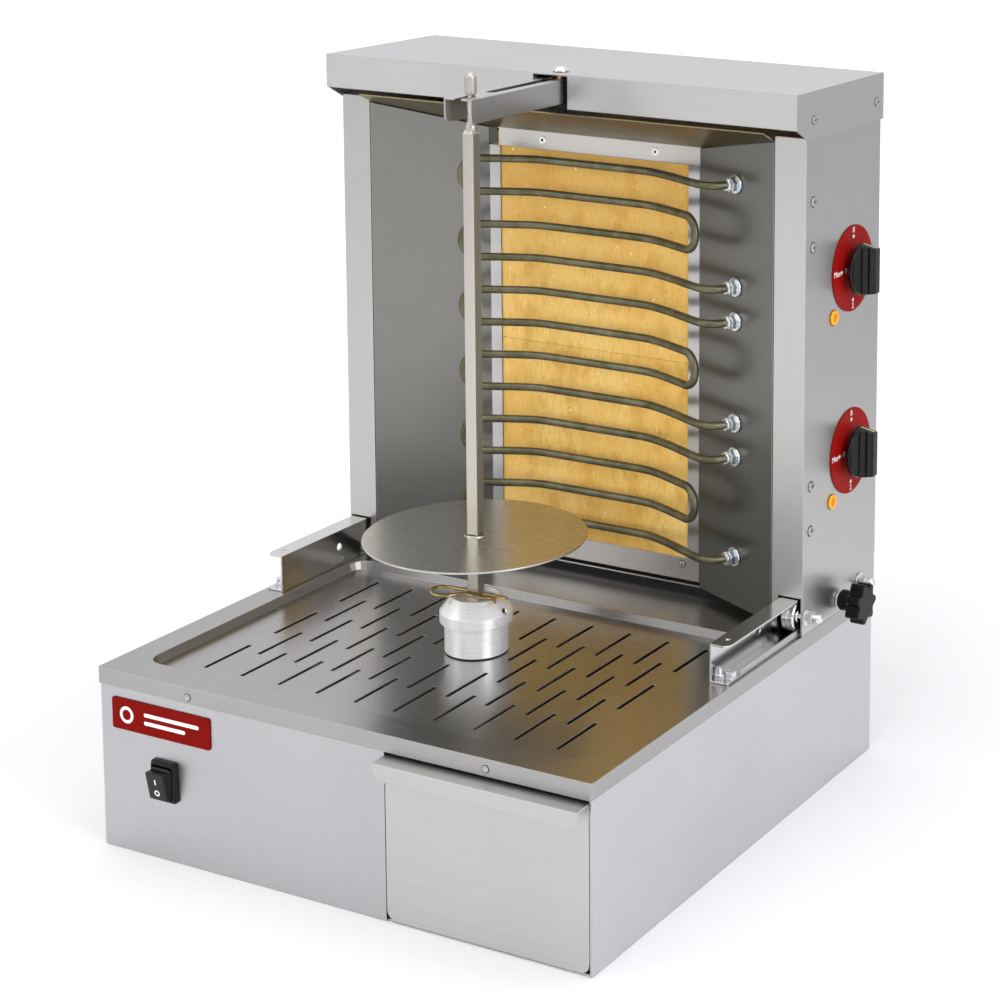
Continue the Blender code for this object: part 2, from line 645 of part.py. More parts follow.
def build_spit_arm():
    """Inverted channel whose open nose closes round the spit's neck."""
    path = [(ARM_BOTTOM, -ARM_HALF), (ARM_TOP, -ARM_HALF), (ARM_TOP, ARM_HALF), (ARM_BOTTOM, ARM_HALF)]
    arm = folded("spit_arm", path, "Y", ARM_FRONT, ARM_BACK, "brushed_steel", rounding=(6 * MM, 6 * MM))
    nose = NECK_RADIUS + 0.9 * MM
    top = ARM_TOP + MM
    cut_box(arm, (-nose, ARM_FRONT - MM, ARM_TOP - 4 * MM), (nose, nose, top))
    cut_box(arm, (-ARM_SLOT_HALF, ARM_SLOT_FRONT + ARM_SLOT_HALF, ARM_TOP - 4 * MM),
            (ARM_SLOT_HALF, ARM_SLOT_BACK, top))
    cut_hole(arm, (0, ARM_SLOT_FRONT + ARM_SLOT_HALF, ARM_TOP - 4 * MM), "Z", 5 * MM, ARM_SLOT_HALF)


def build_arm_fixings():
    """Guide channel, screw and spacer that hang the arm from the lid."""
    inner = ARM_HALF + 0.6 * MM
    floor = ARM_BOTTOM - 0.6 * MM
    top = LID_TOP - SHEET - GAP - 0.1 * MM
    wing = inner + 11 * MM
    path = [(top, -wing), (top, -inner), (floor, -inner), (floor, inner), (top, inner), (top, wing)]
    guide = folded("arm_guide", path, "Y", LID_FRONT + SHEET + GAP, 182 * MM, "black_plastic",
                   thickness=MM)
    cut_hole(guide, (0, ARM_SCREW_Y, floor - 5 * MM), "Z", 10 * MM, 6 * MM)
    turned("arm_screw", [(0, 604.6 * MM), (3.5 * MM, 604.2 * MM), (6.0 * MM, 602.6 * MM),
                         (6.9 * MM, 600.3 * MM),
                         (2.0 * MM, 600.3 * MM), (2.0 * MM, 584 * MM), (0, 584 * MM)],
           "mirror_steel", (0, ARM_SCREW_Y, 0), steps=24)
    turned("arm_sleeve", [(2.3 * MM, 598.4 * MM), (4.1 * MM, 598.4 * MM), (4.1 * MM, 590 * MM),
                          (2.3 * MM, 590 * MM)], "brass", (0, ARM_SCREW_Y, 0), steps=20)


# ---------------------------------------------------------------- heater cabinet

def side_holes(side, panel):
    """Holes through one side panel for axles and, on the right, for the controls."""
    start = side * (CABINET_HALF + 3 * MM) - (6 * MM if side > 0 else 0)

    def pierce(y, z, radius):
        cut_hole(panel, (start, y, z), "X", 6 * MM, radius, 14)

    for y in ROLLER_Y.values():
        pierce(y, ROLLER_Z, 3.4 * MM)
    if side > 0:
        pierce(STAR_Y, STAR_Z, 4.5 * MM)
        for y, z in DIALS.values():
            pierce(y, z, 3.6 * MM)
            pierce(LAMP_Y, z - LAMP_DROP, 5.2 * MM)


def build_cabinet_side(side):
    name = "cabinet_right_side" if side > 0 else "cabinet_left_side"
    back = CABINET_BACK - SHEET - GAP
    path = [(FLANGE_INNER, CABINET_FRONT), (CABINET_HALF, CABINET_FRONT), (CABINET_HALF, back),
            (CABINET_HALF - 14 * MM, back)]
    if side < 0:
        path = mirrored_plan(path)
    panel = folded(name, path, "Z", CABINET_BOTTOM, FLANGE_TOP, "brushed_steel")
    inner = (RAIL_INNER - 3 * MM) * side
    outer = (CABINET_HALF - SHEET - GAP) * side
    cut_box(panel, (min(inner, outer), CABINET_FRONT - MM, CABINET_BOTTOM - MM),
            (max(inner, outer), CABINET_BACK + MM, RAIL_TOP + 0.9 * MM))
    side_holes(side, panel)


def build_cabinet_back():
    half = CABINET_HALF - GAP
    back = slab("cabinet_back", (-half, CABINET_BACK - SHEET, 152 * MM), (half, CABINET_BACK, 588 * MM),
                "brushed_steel")
    for column in (-1, 1):
        for row in range(8):
            x = column * 100 * MM
            z = (430 + 14 * row) * MM
            cut_box(back, (x - 40 * MM, CABINET_BACK - 3 * MM, z),
                    (x + 40 * MM, CABINET_BACK + MM, z + 5 * MM))
        inner, outer = column * (RAIL_INNER - 3 * MM), column * (half + MM)
        cut_box(back, (min(inner, outer), CABINET_BACK - 3 * MM, 150 * MM),
                (max(inner, outer), CABINET_BACK + MM, RAIL_TOP + 0.9 * MM))


def build_cabinet_floor():
    slab("cabinet_floor", (-205 * MM, 178 * MM, 152.5 * MM),
         (205 * MM, CABINET_BACK - SHEET - GAP, 153.7 * MM),
         "brushed_steel")


def build_top_lid():
    """Lid with a short front skirt, deeper sides, and a notch for the arm."""
    low = LID_TOP - LID_SIDE_SKIRT
    lid_low = Vector((-LID_HALF, LID_FRONT, low))
    lid_high = Vector((LID_HALF, LID_BACK, LID_TOP))
    bm = bmesh.new()
    bmesh.ops.create_cube(bm, size=1.0)
    bmesh.ops.scale(bm, vec=lid_high - lid_low, verts=bm.verts)
    bmesh.ops.translate(bm, vec=(lid_low + lid_high) / 2, verts=bm.verts)
    bmesh.ops.delete(bm, geom=[face for face in bm.faces if face.normal.z < -0.9], context="FACES_ONLY")
    lid = add_object("top_lid", mesh_from(bm, "top_lid"), "brushed_steel")
    modify(lid, "SOLIDIFY", thickness=SHEET, offset=-1.0, use_even_offset=True)
    front_edge = LID_TOP - LID_FRONT_SKIRT
    corner = [(LID_FRONT - 5 * MM, low - 5 * MM), (CABINET_FRONT + 5 * MM, low - 5 * MM),
              (CABINET_FRONT, low),
              (LID_FRONT, front_edge), (LID_FRONT - 5 * MM, front_edge)]
    cut(lid, plate("lid_corner_cutter", corner, "X", -LID_HALF - 5 * MM, LID_HALF + 5 * MM, None))
    cut_box(lid, (-NOTCH_HALF, LID_FRONT - 3 * MM, front_edge - 3 * MM),
            (NOTCH_HALF, LID_FRONT + 3 * MM, LID_TOP - SHEET))
    cut_hole(lid, (0, ARM_SCREW_Y, LID_TOP - 5 * MM), "Z", 10 * MM, 2.4 * MM)


def hood_line(y, drop):
    """Height of the hood's lower face above a given y, lowered by drop."""
    slope = (HOOD_FRONT_Z - HOOD_FOLD) / (STRIP_FACE - HOOD_FRONT_Y)
    return HOOD_FOLD + (STRIP_FACE - y) * slope - drop


def build_hood():
    """Sloping mirror sheet over the chamber, folded down into the strip that holds the board."""
    path = [(HOOD_FRONT_Y, HOOD_FRONT_Z), (STRIP_FACE, HOOD_FOLD), (STRIP_FACE, WINDOW_TOP)]
    half = FLANGE_INNER - 2 * MM
    hood = folded("hood_sheet", path, "X", -half, half, "mirror_steel")
    low = WINDOW_TOP - MM
    high = HOOD_FOLD - 0.5 * MM
    for x0, x1 in ((-half - MM, -BOARD_HALF - 1.4 * MM), (STRIP_HALF + 0.6 * MM, half + MM)):
        cut_box(hood, (x0, STRIP_FACE - MM, low), (x1, STRIP_FACE + 3 * MM, high))


def build_reflector(side):
    """Splayed reflector, folded parallel to the board along its inner edge."""
    name = "right_reflector" if side > 0 else "left_reflector"
    path = [(BOARD_HALF + GAP, STRIP_FACE), (STRIP_HALF, STRIP_FACE), (REFLECTOR_HALF, CABINET_FRONT)]
    if side < 0:
        path = mirrored_plan(path)
    sheet = folded(name, path, "Z", REFLECTOR_BOTTOM, HOOD_FRONT_Z, "mirror_steel")
    front, back = 100 * MM, 190 * MM
    roof = [(front, hood_line(front, 0.8 * MM)), (back, hood_line(back, 0.8 * MM)), (back, LID_TOP),
            (front, LID_TOP)]
    cut(sheet, plate(name + "_roof_cutter", roof, "X", -260 * MM, 260 * MM, None))
    inner, outer = side * (BOARD_HALF - 2 * MM), side * (STRIP_HALF + 0.9 * MM)
    x0, x1 = min(inner, outer), max(inner, outer)
    cut_box(sheet, (x0, STRIP_FACE - MM, WINDOW_TOP - GAP), (x1, STRIP_FACE + 3 * MM, LID_TOP))
    cut_box(sheet, (x0, STRIP_FACE - MM, REFLECTOR_BOTTOM - MM),
            (x1, STRIP_FACE + 3 * MM, WINDOW_BOTTOM + GAP))
    if side > 0:
        for top in ELEMENT_TOPS:
            for z in (top, top - ELEMENT_SPAN):
                start = terminal_face(z) - reflector_normal() * 10 * MM
                hole = rod(name + "_gland_hole", start, "Z", 20 * MM, 5 * MM, None, 14)
                hole.rotation_euler = (-math.pi / 2, 0, -splay())
                cut(sheet, hole)


def splay():
    """Angle between a reflector and the board, seen from above."""
    return math.atan2(STRIP_FACE - CABINET_FRONT, REFLECTOR_HALF - STRIP_HALF)


def reflector_normal():
    """Direction that points out of the back of the right reflector."""
    return Vector((math.sin(splay()), math.cos(splay()), 0.0))


def terminal_face(z):
    """Point on the front of the right reflector where a heater leg passes through."""
    return Vector((TERMINAL_X, STRIP_FACE - (TERMINAL_X - STRIP_HALF) * math.tan(splay()), z))


def build_boards():
    back = BOARD_FACE + BOARD_THICKNESS
    half = STRIP_HALF - 2 * MM
    slab("insulating_board_lower", (-half, BOARD_FACE, WINDOW_BOTTOM - 6 * MM), (half, back, BOARD_SEAM),
         "insulating_board")
    slab("insulating_board_upper", (-half, BOARD_FACE, BOARD_SEAM + GAP),
         (half, back, HOOD_FOLD - 3 * MM),
         "insulating_board")


def build_bottom_strip():
    bottom = 159.2 * MM
    path = [(STRIP_FACE, WINDOW_BOTTOM), (STRIP_FACE, bottom), (STRIP_FACE + 13 * MM, bottom)]
    folded("board_bottom_strip", path, "X", -STRIP_HALF - 0.2 * MM, STRIP_HALF + 0.2 * MM,
           "brushed_steel")


def element_plan():
    """Plan of one leg from left return bend to right return bend, as (x, y) points."""
    tip_run = ELEMENT_REACH - ELEMENT_STRAIGHT
    drop = tip_run * math.tan(ELEMENT_WING_ANGLE)
    right = [(ELEMENT_STRAIGHT, ELEMENT_Y), (ELEMENT_STRAIGHT + 0.25 * tip_run, ELEMENT_Y - 0.19 * drop),
             (ELEMENT_REACH, ELEMENT_Y - drop)]
    left = [(-x, y) for x, y in reversed(right)]
    return [(x + ELEMENT_SHIFT, y) for x, y in left + right]


def return_bend(tip, inwards, z_from, z_to, steps=6):
    """Half turn from one leg's height to the next, bulging outwards past the tip."""
    radius = abs(z_from - z_to) / 2
    middle = (z_from + z_to) / 2
    sign = 1 if z_from > z_to else -1
    points = []
    for i in range(1, steps):
        angle = math.pi / 2 - math.pi * i / steps
        out = radius * math.cos(angle)
        points.append((tip[0] - inwards[0] * out, tip[1] - inwards[1] * out,
                       middle + sign * radius * math.sin(angle)))
    return points


def terminal_tail():
    """Last stretch of a heater leg, turning square into the right reflector."""
    normal = reflector_normal().xy
    end = terminal_face(0.0).xy - normal * 10.5 * MM
    knee = Vector((ELEMENT_REACH + ELEMENT_SHIFT + 4 * MM, ELEMENT_Y - 29 * MM))
    middle = (end + knee) / 2 - normal * 3 * MM
    return [tuple(knee), tuple(middle), tuple(end)]


def build_element(name, top):
    """Tubular heater of four legs with a threaded gland brazed on each end."""
    plan = element_plan()
    wing = Vector(plan[-2]) - Vector(plan[-1])
    wing.normalize()
    pitch = ELEMENT_SPAN / 3
    bend = pitch / 2
    heights = [top - pitch * i for i in range(4)]
    left_in, right_in = (-wing.x, wing.y), (wing.x, wing.y)
    right_tip = (plan[-1][0] + wing.x * bend, plan[-1][1] + wing.y * bend)
    left_tip = (plan[0][0] - wing.x * bend, plan[0][1] + wing.y * bend)
    leftwards = [right_tip] + plan[-2:0:-1] + [left_tip]
    points = [(x, y, heights[0]) for x, y in reversed(terminal_tail())]
    points += [(x, y, heights[0]) for x, y in leftwards[1:]]
    points += return_bend(left_tip, left_in, heights[0], heights[1])
    points += [(x, y, heights[1]) for x, y in reversed(leftwards)]
    points += return_bend(right_tip, right_in, heights[1], heights[2])
    points += [(x, y, heights[2]) for x, y in leftwards]
    points += return_bend(left_tip, left_in, heights[2], heights[3])
    points += [(x, y, heights[3]) for x, y in reversed(leftwards[1:])]
    points += [(x, y, heights[3]) for x, y in terminal_tail()]
    element = wire(name, points, ELEMENT_RADIUS, "element_tube")
    for z in (heights[0], heights[3]):
        join(element, gland(name, z))


def gland(name, z):
    """Hexagon gland with its washer, threaded through the reflector."""
    turn = (-math.pi / 2, 0, -splay())
    normal = reflector_normal()
    face = terminal_face(z)
    hexagon = rod(name + "_gland", face - normal * 11.2 * MM, "Z", 9 * MM, 6.6 * MM, None, 6)
    washer = rod(name + "_washer", face - normal * 2.6 * MM, "Z", 2.2 * MM, 8.2 * MM, None, 20)
    stem = rod(name + "_stem", face - normal * 4 * MM, "Z", 20 * MM, 4.4 * MM, None, 14)
    for piece in (hexagon, washer, stem):
        piece.rotation_euler = turn
    join(hexagon, washer, stem)
    return hexagon


# ---------------------------------------------------------------- controls

def build_dial(level):
    y, z = DIALS[level]
    outside = CABINET_HALF + GAP
    turned("dial_plate_" + level, [(7 * MM, 0.8 * MM), (DIAL_RADIUS, 0.8 * MM), (DIAL_RADIUS, 0.0),
                                   (7 * MM, 0.0)],
           "red_enamel", (outside, y, z), "X", steps=40)
    regulator = slab("regulator_" + level, (194 * MM, y - 18 * MM, z - 18 * MM),
                     (CABINET_HALF - SHEET - GAP, y + 18 * MM, z + 18 * MM), "white_ceramic")
    cut_hole(regulator, (204 * MM, y, z), "X", 40 * MM, SPINDLE_RADIUS + GAP, 16)
    turned("regulator_spindle_" + level, [(0, 38 * MM), (SPINDLE_RADIUS, 38 * MM),
                                          (SPINDLE_RADIUS, 0), (0, 0)],
           "brass", (205 * MM, y, z), "X", steps=16)
    build_knob("regulator_knob_" + level, outside + 1.3 * MM, y, z)


def build_knob(name, x, y, z):
    """Knob with a round foot and a grip bar across it."""
    knob = turned(name, [(0, 6 * MM), (17 * MM, 6 * MM), (20.5 * MM, 4.6 * MM), (KNOB_RADIUS, 2 * MM),
                         (KNOB_RADIUS, 0), (0, 0)], "black_plastic", (x, y, z), "X", steps=28)
    grip = slab(name + "_grip", (x + 3 * MM, y - 7.5 * MM, z - 20.5 * MM),
                (x + KNOB_DEPTH, y + 7.5 * MM, z + 20.5 * MM),
                None)
    modify(grip, "BEVEL", width=3.5 * MM, segments=3)
    join(knob, grip)
    cut_hole(knob, (x - 2 * MM, y, z), "X", 14 * MM, SPINDLE_RADIUS + GAP, 16)


def build_lamp(level):
    z = DIALS[level][1] - LAMP_DROP
    turned("pilot_lamp_" + level, [(0, 5.2 * MM), (3.2 * MM, 4.8 * MM), (5.2 * MM, 3.2 * MM),
                                   (6.2 * MM, 0.3 * MM),
                                   (4.8 * MM, 0.3 * MM), (4.8 * MM, -16 * MM), (0, -16 * MM)],
           "orange_lens", (CABINET_HALF, LAMP_Y, z), "X", steps=20)


# ---------------------------------------------------------------- running gear

def build_rail(side):
    """Channel that opens outwards, for the cabinet's rollers."""
    path = [(RAIL_BOTTOM, RAIL_OUTER), (RAIL_BOTTOM, RAIL_INNER), (RAIL_TOP, RAIL_INNER),
            (RAIL_TOP, RAIL_OUTER)]
    if side < 0:
        path = mirrored(path)
    name = "right_rail" if side > 0 else "left_rail"
    rounding = (3 * MM, 7 * MM) if side > 0 else (7 * MM, 3 * MM)
    rail = folded(name, path, "Y", RAIL_FRONT, RAIL_BACK, "brushed_steel", thickness=RAIL_SHEET,
                  rounding=rounding)
    web = side * RAIL_INNER - 5 * MM
    cut_hole(rail, (web, 89 * MM, 164.5 * MM), "X", 10 * MM, 3.4 * MM, 14)
    cut_hole(rail, (side * 219.5 * MM, 27 * MM, RAIL_TOP - 4 * MM), "Z", 6 * MM, 2 * MM, 12)


def build_roller(side, end):
    """Roller and the axle that carries it, with a domed nut outside the panel."""
    hand = "right" if side > 0 else "left"
    axis = "X" if side > 0 else "-X"
    y = ROLLER_Y[end]
    centre = (side * 220.2 * MM, y, ROLLER_Z)
    bore = 3.3 * MM
    turned("roller_%s_%s" % (hand, end), [(bore, 5.8 * MM), (11.5 * MM, 5.8 * MM),
                                          (ROLLER_RADIUS, 4.6 * MM),
                                          (ROLLER_RADIUS, -4.6 * MM), (11.5 * MM, -5.8 * MM),
                                          (bore, -5.8 * MM)],
           "zinc", centre, axis, steps=20)
    head = CABINET_HALF + GAP
    profile = [(0, 15.6 * MM), (2.4 * MM, 15 * MM), (3.9 * MM, 12.5 * MM), (4.3 * MM, 9.5 * MM),
               (4.3 * MM, 8.4 * MM),
               (5 * MM, 8.2 * MM), (5 * MM, 2.6 * MM), (6.8 * MM, 2.4 * MM), (6.8 * MM, 0), (3 * MM, 0),
               (3 * MM, -17.1 * MM), (0, -17.1 * MM)]
    turned("roller_axle_%s_%s" % (hand, end), profile, "zinc", (side * head, y, ROLLER_Z), axis, steps=12)


def build_star_knob():
    """Clamping knob: lobed head, hub and a stem that bears on the rail's web."""
    x = CABINET_HALF
    tip = RAIL_INNER + RAIL_SHEET + GAP
    star = turned("star_knob", [(0, 16 * MM), (8 * MM, 16 * MM), (8.6 * MM, 4 * MM), (7.4 * MM, 4 * MM),
                                (7.4 * MM, 1.2 * MM), (4 * MM, 1.2 * MM), (4 * MM, tip - x),
                                (0, tip - x)],
                  "black_plastic", (x, STAR_Y, STAR_Z), "X", steps=24)
    lobes = 7
    points = lobes * 6
    outline = []
    for i in range(points):
        angle = 2 * math.pi * i / points
        radius = (15.6 + 2.0 * math.cos(lobes * angle)) * MM
        outline.append((radius * math.cos(angle), radius * math.sin(angle)))
    head = plate("star_head", outline, "X", x + 15 * MM, x + 27.5 * MM, None)
    head.location = (0, STAR_Y, STAR_Z)
    modify(head, "BEVEL", width=1.2 * MM, segments=1, limit_method="ANGLE", angle_limit=math.radians(60))
    join(star, head)


# ---------------------------------------------------------------- assembly

def build_base():
    build_base_shell()
    build_base_floor()
    build_top_deck()
    build_drip_chute()
    build_badge()
    build_switch()
    build_mains_inlet()
    build_terminal_block()
    build_drawer()
    build_drawer_cradle()


def build_drive():
    build_motor()
    build_shaft_bearing()
    build_output_shaft()
    build_drive_hub()
    build_spit_bar()
    build_meat_disc()
    build_hairpin_clip()
    build_spit_arm()
    build_arm_fixings()


def build_cabinet():
    for side in (-1, 1):
        build_cabinet_side(side)
        build_reflector(side)
        build_rail(side)
        for end in ROLLER_Y:
            build_roller(side, end)
    build_cabinet_back()
    build_cabinet_floor()
    build_top_lid()
    build_hood()
    build_boards()
    build_bottom_strip()
    for name, top in zip(("upper", "middle", "lower"), ELEMENT_TOPS):
        build_element("heating_element_" + name, top)
    for level in DIALS:
        build_dial(level)
        build_lamp(level)
    build_star_knob()


clear_scene()
PARTS = make_collection("vertical_rotisserie_broiler")
CUTTERS = make_collection("cutters")
build_base()
build_drive()
build_cabinet()
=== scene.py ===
"""Looks of the vertical rotisserie broiler: materials, fine pieces, studio light and camera."""

import math

import bmesh
import bpy
from mathutils import Matrix, Vector


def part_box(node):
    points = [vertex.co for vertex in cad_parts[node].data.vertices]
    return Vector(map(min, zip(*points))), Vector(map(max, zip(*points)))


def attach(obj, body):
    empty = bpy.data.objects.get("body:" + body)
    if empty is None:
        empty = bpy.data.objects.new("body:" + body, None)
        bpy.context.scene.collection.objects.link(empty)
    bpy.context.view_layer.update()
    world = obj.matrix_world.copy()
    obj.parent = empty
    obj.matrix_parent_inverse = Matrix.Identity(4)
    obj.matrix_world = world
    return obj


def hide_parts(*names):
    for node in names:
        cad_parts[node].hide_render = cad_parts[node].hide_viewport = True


MM = 0.001
UP = Vector((0, 0, 1))

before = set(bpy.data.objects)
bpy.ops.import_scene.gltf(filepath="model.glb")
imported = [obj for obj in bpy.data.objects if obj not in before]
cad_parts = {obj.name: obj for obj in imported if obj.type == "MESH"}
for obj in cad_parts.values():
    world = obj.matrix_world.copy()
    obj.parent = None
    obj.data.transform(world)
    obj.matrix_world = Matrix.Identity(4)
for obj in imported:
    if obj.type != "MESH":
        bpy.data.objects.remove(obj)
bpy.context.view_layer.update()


# ---------------------------------------------------------------- places taken from the frame

def middle(node):
    low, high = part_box(node)
    return (Vector(low) + Vector(high)) / 2


def size(node):
    low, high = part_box(node)
    return Vector(high) - Vector(low)


# ---------------------------------------------------------------- material tools

class Shader:
    """A Principled material and short calls for the nodes that feed it."""

    def __init__(self, name, metallic=0.0, roughness=0.5, **inputs):
        self.material = bpy.data.materials.new(name)
        self.material.use_nodes = True
        self.nodes = self.material.node_tree.nodes
        self.links = self.material.node_tree.links
        self.surface = self.nodes["Principled BSDF"]
        self.surface.inputs["Metallic"].default_value = metallic
        self.surface.inputs["Roughness"].default_value = roughness
        for key, value in inputs.items():
            self.surface.inputs[key.replace("_", " ").title().replace("Ior", "IOR")].default_value = value

    def node(self, kind, inputs=None, **settings):
        node = self.nodes.new("ShaderNode" + kind)
        for key, value in settings.items():
            setattr(node, key, value)
        for key, value in (inputs or {}).items():
            if isinstance(value, bpy.types.NodeSocket):
                self.links.new(value, node.inputs[key])
            else:
                node.inputs[key].default_value = value
        return node

    def feed(self, socket, value):
        self.links.new(value, self.surface.inputs[socket])

    def coordinates(self, scale):
        """Object coordinates in metres, stretched by scale on each axis."""
        place = self.node("TexCoord").outputs["Object"]
        return self.node("Mapping", {"Vector": place, "Scale": scale}).outputs["Vector"]

    def noise(self, scale, detail=3.0, roughness=0.55):
        """Noise with scale cells per metre on each axis."""
        inputs = {"Vector": self.coordinates(scale), "Scale": 1.0, "Detail": detail, "Roughness": roughness}
        return self.node("TexNoise", inputs).outputs["Fac"]

    def spread(self, value, low, high, start=0.0, end=1.0):
        """Maps value from the range start..end to the range low..high."""
        inputs = {"Value": value, "From Min": start, "From Max": end, "To Min": low, "To Max": high}
        return self.node("MapRange", inputs).outputs["Result"]

    def maths(self, operation, a, b):
        return self.node("Math", {0: a, 1: b}, operation=operation).outputs[0]

    def mix(self, factor, a, b, blend="MIX"):
        """Mixed colour of two colours or colour sockets."""
        node = self.node("Mix", data_type="RGBA", blend_type=blend)
        for socket, value in zip((node.inputs[0], node.inputs[6], node.inputs[7]), (factor, a, b)):
            if isinstance(value, bpy.types.NodeSocket):
                self.links.new(value, socket)
            else:
                socket.default_value = (*value, 1.0) if isinstance(value, tuple) else value
        return node.outputs[2]

    def edges(self, radius):
        """(softened normal, mask that is 1 on folded edges)."""
        soft = self.node("Bevel", {"Radius": radius}, samples=4).outputs["Normal"]
        flat = self.node("NewGeometry").outputs["Normal"]
        cosine = self.node("VectorMath", {0: soft, 1: flat}, operation="DOT_PRODUCT").outputs["Value"]
        return soft, self.spread(cosine, 1.0, 0.0, 0.85, 0.999)

    def bump(self, height, strength, depth, normal=None):
        inputs = {"Height": height, "Strength": strength, "Distance": depth}
        if normal is not None:
            inputs["Normal"] = normal
        self.feed("Normal", self.node("Bump", inputs).outputs["Normal"])


AXES = {"X": Vector((1, 0, 0)), "Y": Vector((0, 1, 0)), "Z": Vector((0, 0, 1))}
LEAN = (0.04, 0.05, 0.06)


def shaded(tone, factor):
    return tuple(min(c * factor, 1.0) for c in tone)


def grain_scale(axis, along, across):
    return tuple(along if AXES[axis][i] else across for i in range(3))


def brushed_steel(name, grain, tone, roughness=0.34, stretch=0.45, edge=1.2, depth=1.0, painted_lean=None):
    """Stainless sheet: fine scratches along one axis, faint clouds, smudges, and a painted highlight or painted shade
    along its folds.

    depth scales the scratches. An (axis, colour) pair paints that colour on faces that lean along that axis: painted
    light on the base's sides, a painted dark reflection on the reflectors, and a painted reflection of the board and
    deck on the hood.
    """
    s = Shader(name, metallic=1.0)
    scratches = s.noise(grain_scale(grain, 9, 1500), 4.0, 0.7)
    bands = s.noise(grain_scale(grain, 2, 200), 3.0, 0.6)
    clouds = s.noise((7, 7, 7), 3.0, 0.5)
    smudges = s.noise((38, 38, 38), 5.0, 0.6)
    soft, painted_edge_mask = s.edges(0.7 * MM)
    dark, light = shaded(tone, 1 - 0.045 * depth), shaded(tone, 1 + 0.04 * depth)
    colour = s.mix(s.spread(scratches, 0.0, 1.0, 0.30, 0.70), dark, light)
    # painted light or shade: a set colour on the faces that lean along one axis
    if painted_lean:
        axis, painted_tone = painted_lean
        lean = s.node("SeparateXYZ", {0: s.node("NewGeometry").outputs["Normal"]}).outputs[axis]
        painted_lean_mask = s.spread(s.maths("ABSOLUTE", lean, 0.0), 0.0, 1.0, 0.10, 0.35)
        colour = s.mix(painted_lean_mask, colour, painted_tone)
    colour = s.mix(s.spread(bands, 0.0, 0.30, 0.35, 0.70), colour, shaded((1, 1, 1), 0.96), "MULTIPLY")
    colour = s.mix(s.spread(clouds, 0.0, 0.40, 0.45, 0.75), colour, shaded((1, 1, 1), 0.88), "MULTIPLY")
    # painted highlight along the folds, painted shade where edge is below 1
    colour = s.mix(s.maths("MULTIPLY", painted_edge_mask, 0.75), colour, shaded(tone, edge))
    s.feed("Base Color", colour)
    rough = s.spread(scratches, roughness - 0.04 * depth, roughness + 0.06 * depth, 0.25, 0.75)
    rough = s.maths("ADD", rough, s.spread(smudges, 0.0, 0.05 * depth, 0.55, 0.80))
    s.feed("Roughness", rough)
    s.surface.inputs["Anisotropic"].default_value = stretch
    direction = s.node("CombineXYZ", {i: AXES[grain][i] + LEAN[i] for i in range(3)}).outputs[0]
    normal = s.node("NewGeometry").outputs["Normal"]
    s.feed("Tangent", s.node("VectorMath", {0: normal, 1: direction}, operation="CROSS_PRODUCT").outputs[0])
    s.bump(scratches, 0.05 * depth, 0.05 * MM, soft)
    return s.material


def turned_metal(name, tone, roughness=0.16, axis="Z", pitch=1500, metallic=1.0):
    """Lathe-turned metal: fine rings round its axis."""
    s = Shader(name, metallic=metallic)
    rings = s.noise(grain_scale(axis, pitch, 6), 3.0, 0.6)
    clouds = s.noise((70, 70, 70), 3.0)
    colour = s.mix(s.spread(rings, 0.0, 1.0, 0.3, 0.7), shaded(tone, 0.98), tone)
    colour = s.mix(s.spread(clouds, 0.0, 0.3, 0.5, 0.8), colour, shaded(tone, 0.90))
    s.feed("Base Color", colour)
    s.feed("Roughness", s.spread(rings, roughness - 0.02, roughness + 0.03, 0.3, 0.7))
    s.bump(rings, 0.02, 0.05 * MM)
    return s.material


def plated(name, tone, tint, roughness=0.2):
    """Zinc or passivated plating, with a second tint drifting over it."""
    s = Shader(name, metallic=1.0)
    drift = s.noise((160, 160, 160), 3.0)
    specks = s.noise((900, 900, 900), 2.0)
    s.feed("Base Color", s.mix(s.spread(drift, 0.0, 1.0, 0.35, 0.65), tone, tint))
    s.feed("Roughness", s.spread(specks, roughness - 0.06, roughness + 0.12, 0.3, 0.7))
    s.bump(specks, 0.12, 0.05 * MM)
    return s.material


def heater_tube():
    """Olive oxide on a heater sheath, patchy and slightly shiny."""
    s = Shader("heater_tube", metallic=0.85)
    patches = s.noise((60, 60, 60), 4.0, 0.6)
    scale = s.noise((1100, 1100, 1100), 3.0)
    colour = s.mix(s.spread(patches, 0.0, 1.0, 0.35, 0.68), (0.105, 0.098, 0.055), (0.200, 0.190, 0.122))
    colour = s.mix(s.spread(scale, 0.0, 0.4, 0.5, 0.8), colour, (0.07, 0.058, 0.038))
    s.feed("Base Color", colour)
    s.feed("Roughness", s.spread(scale, 0.30, 0.46, 0.3, 0.7))
    s.bump(scale, 0.20, 0.06 * MM)
    return s.material


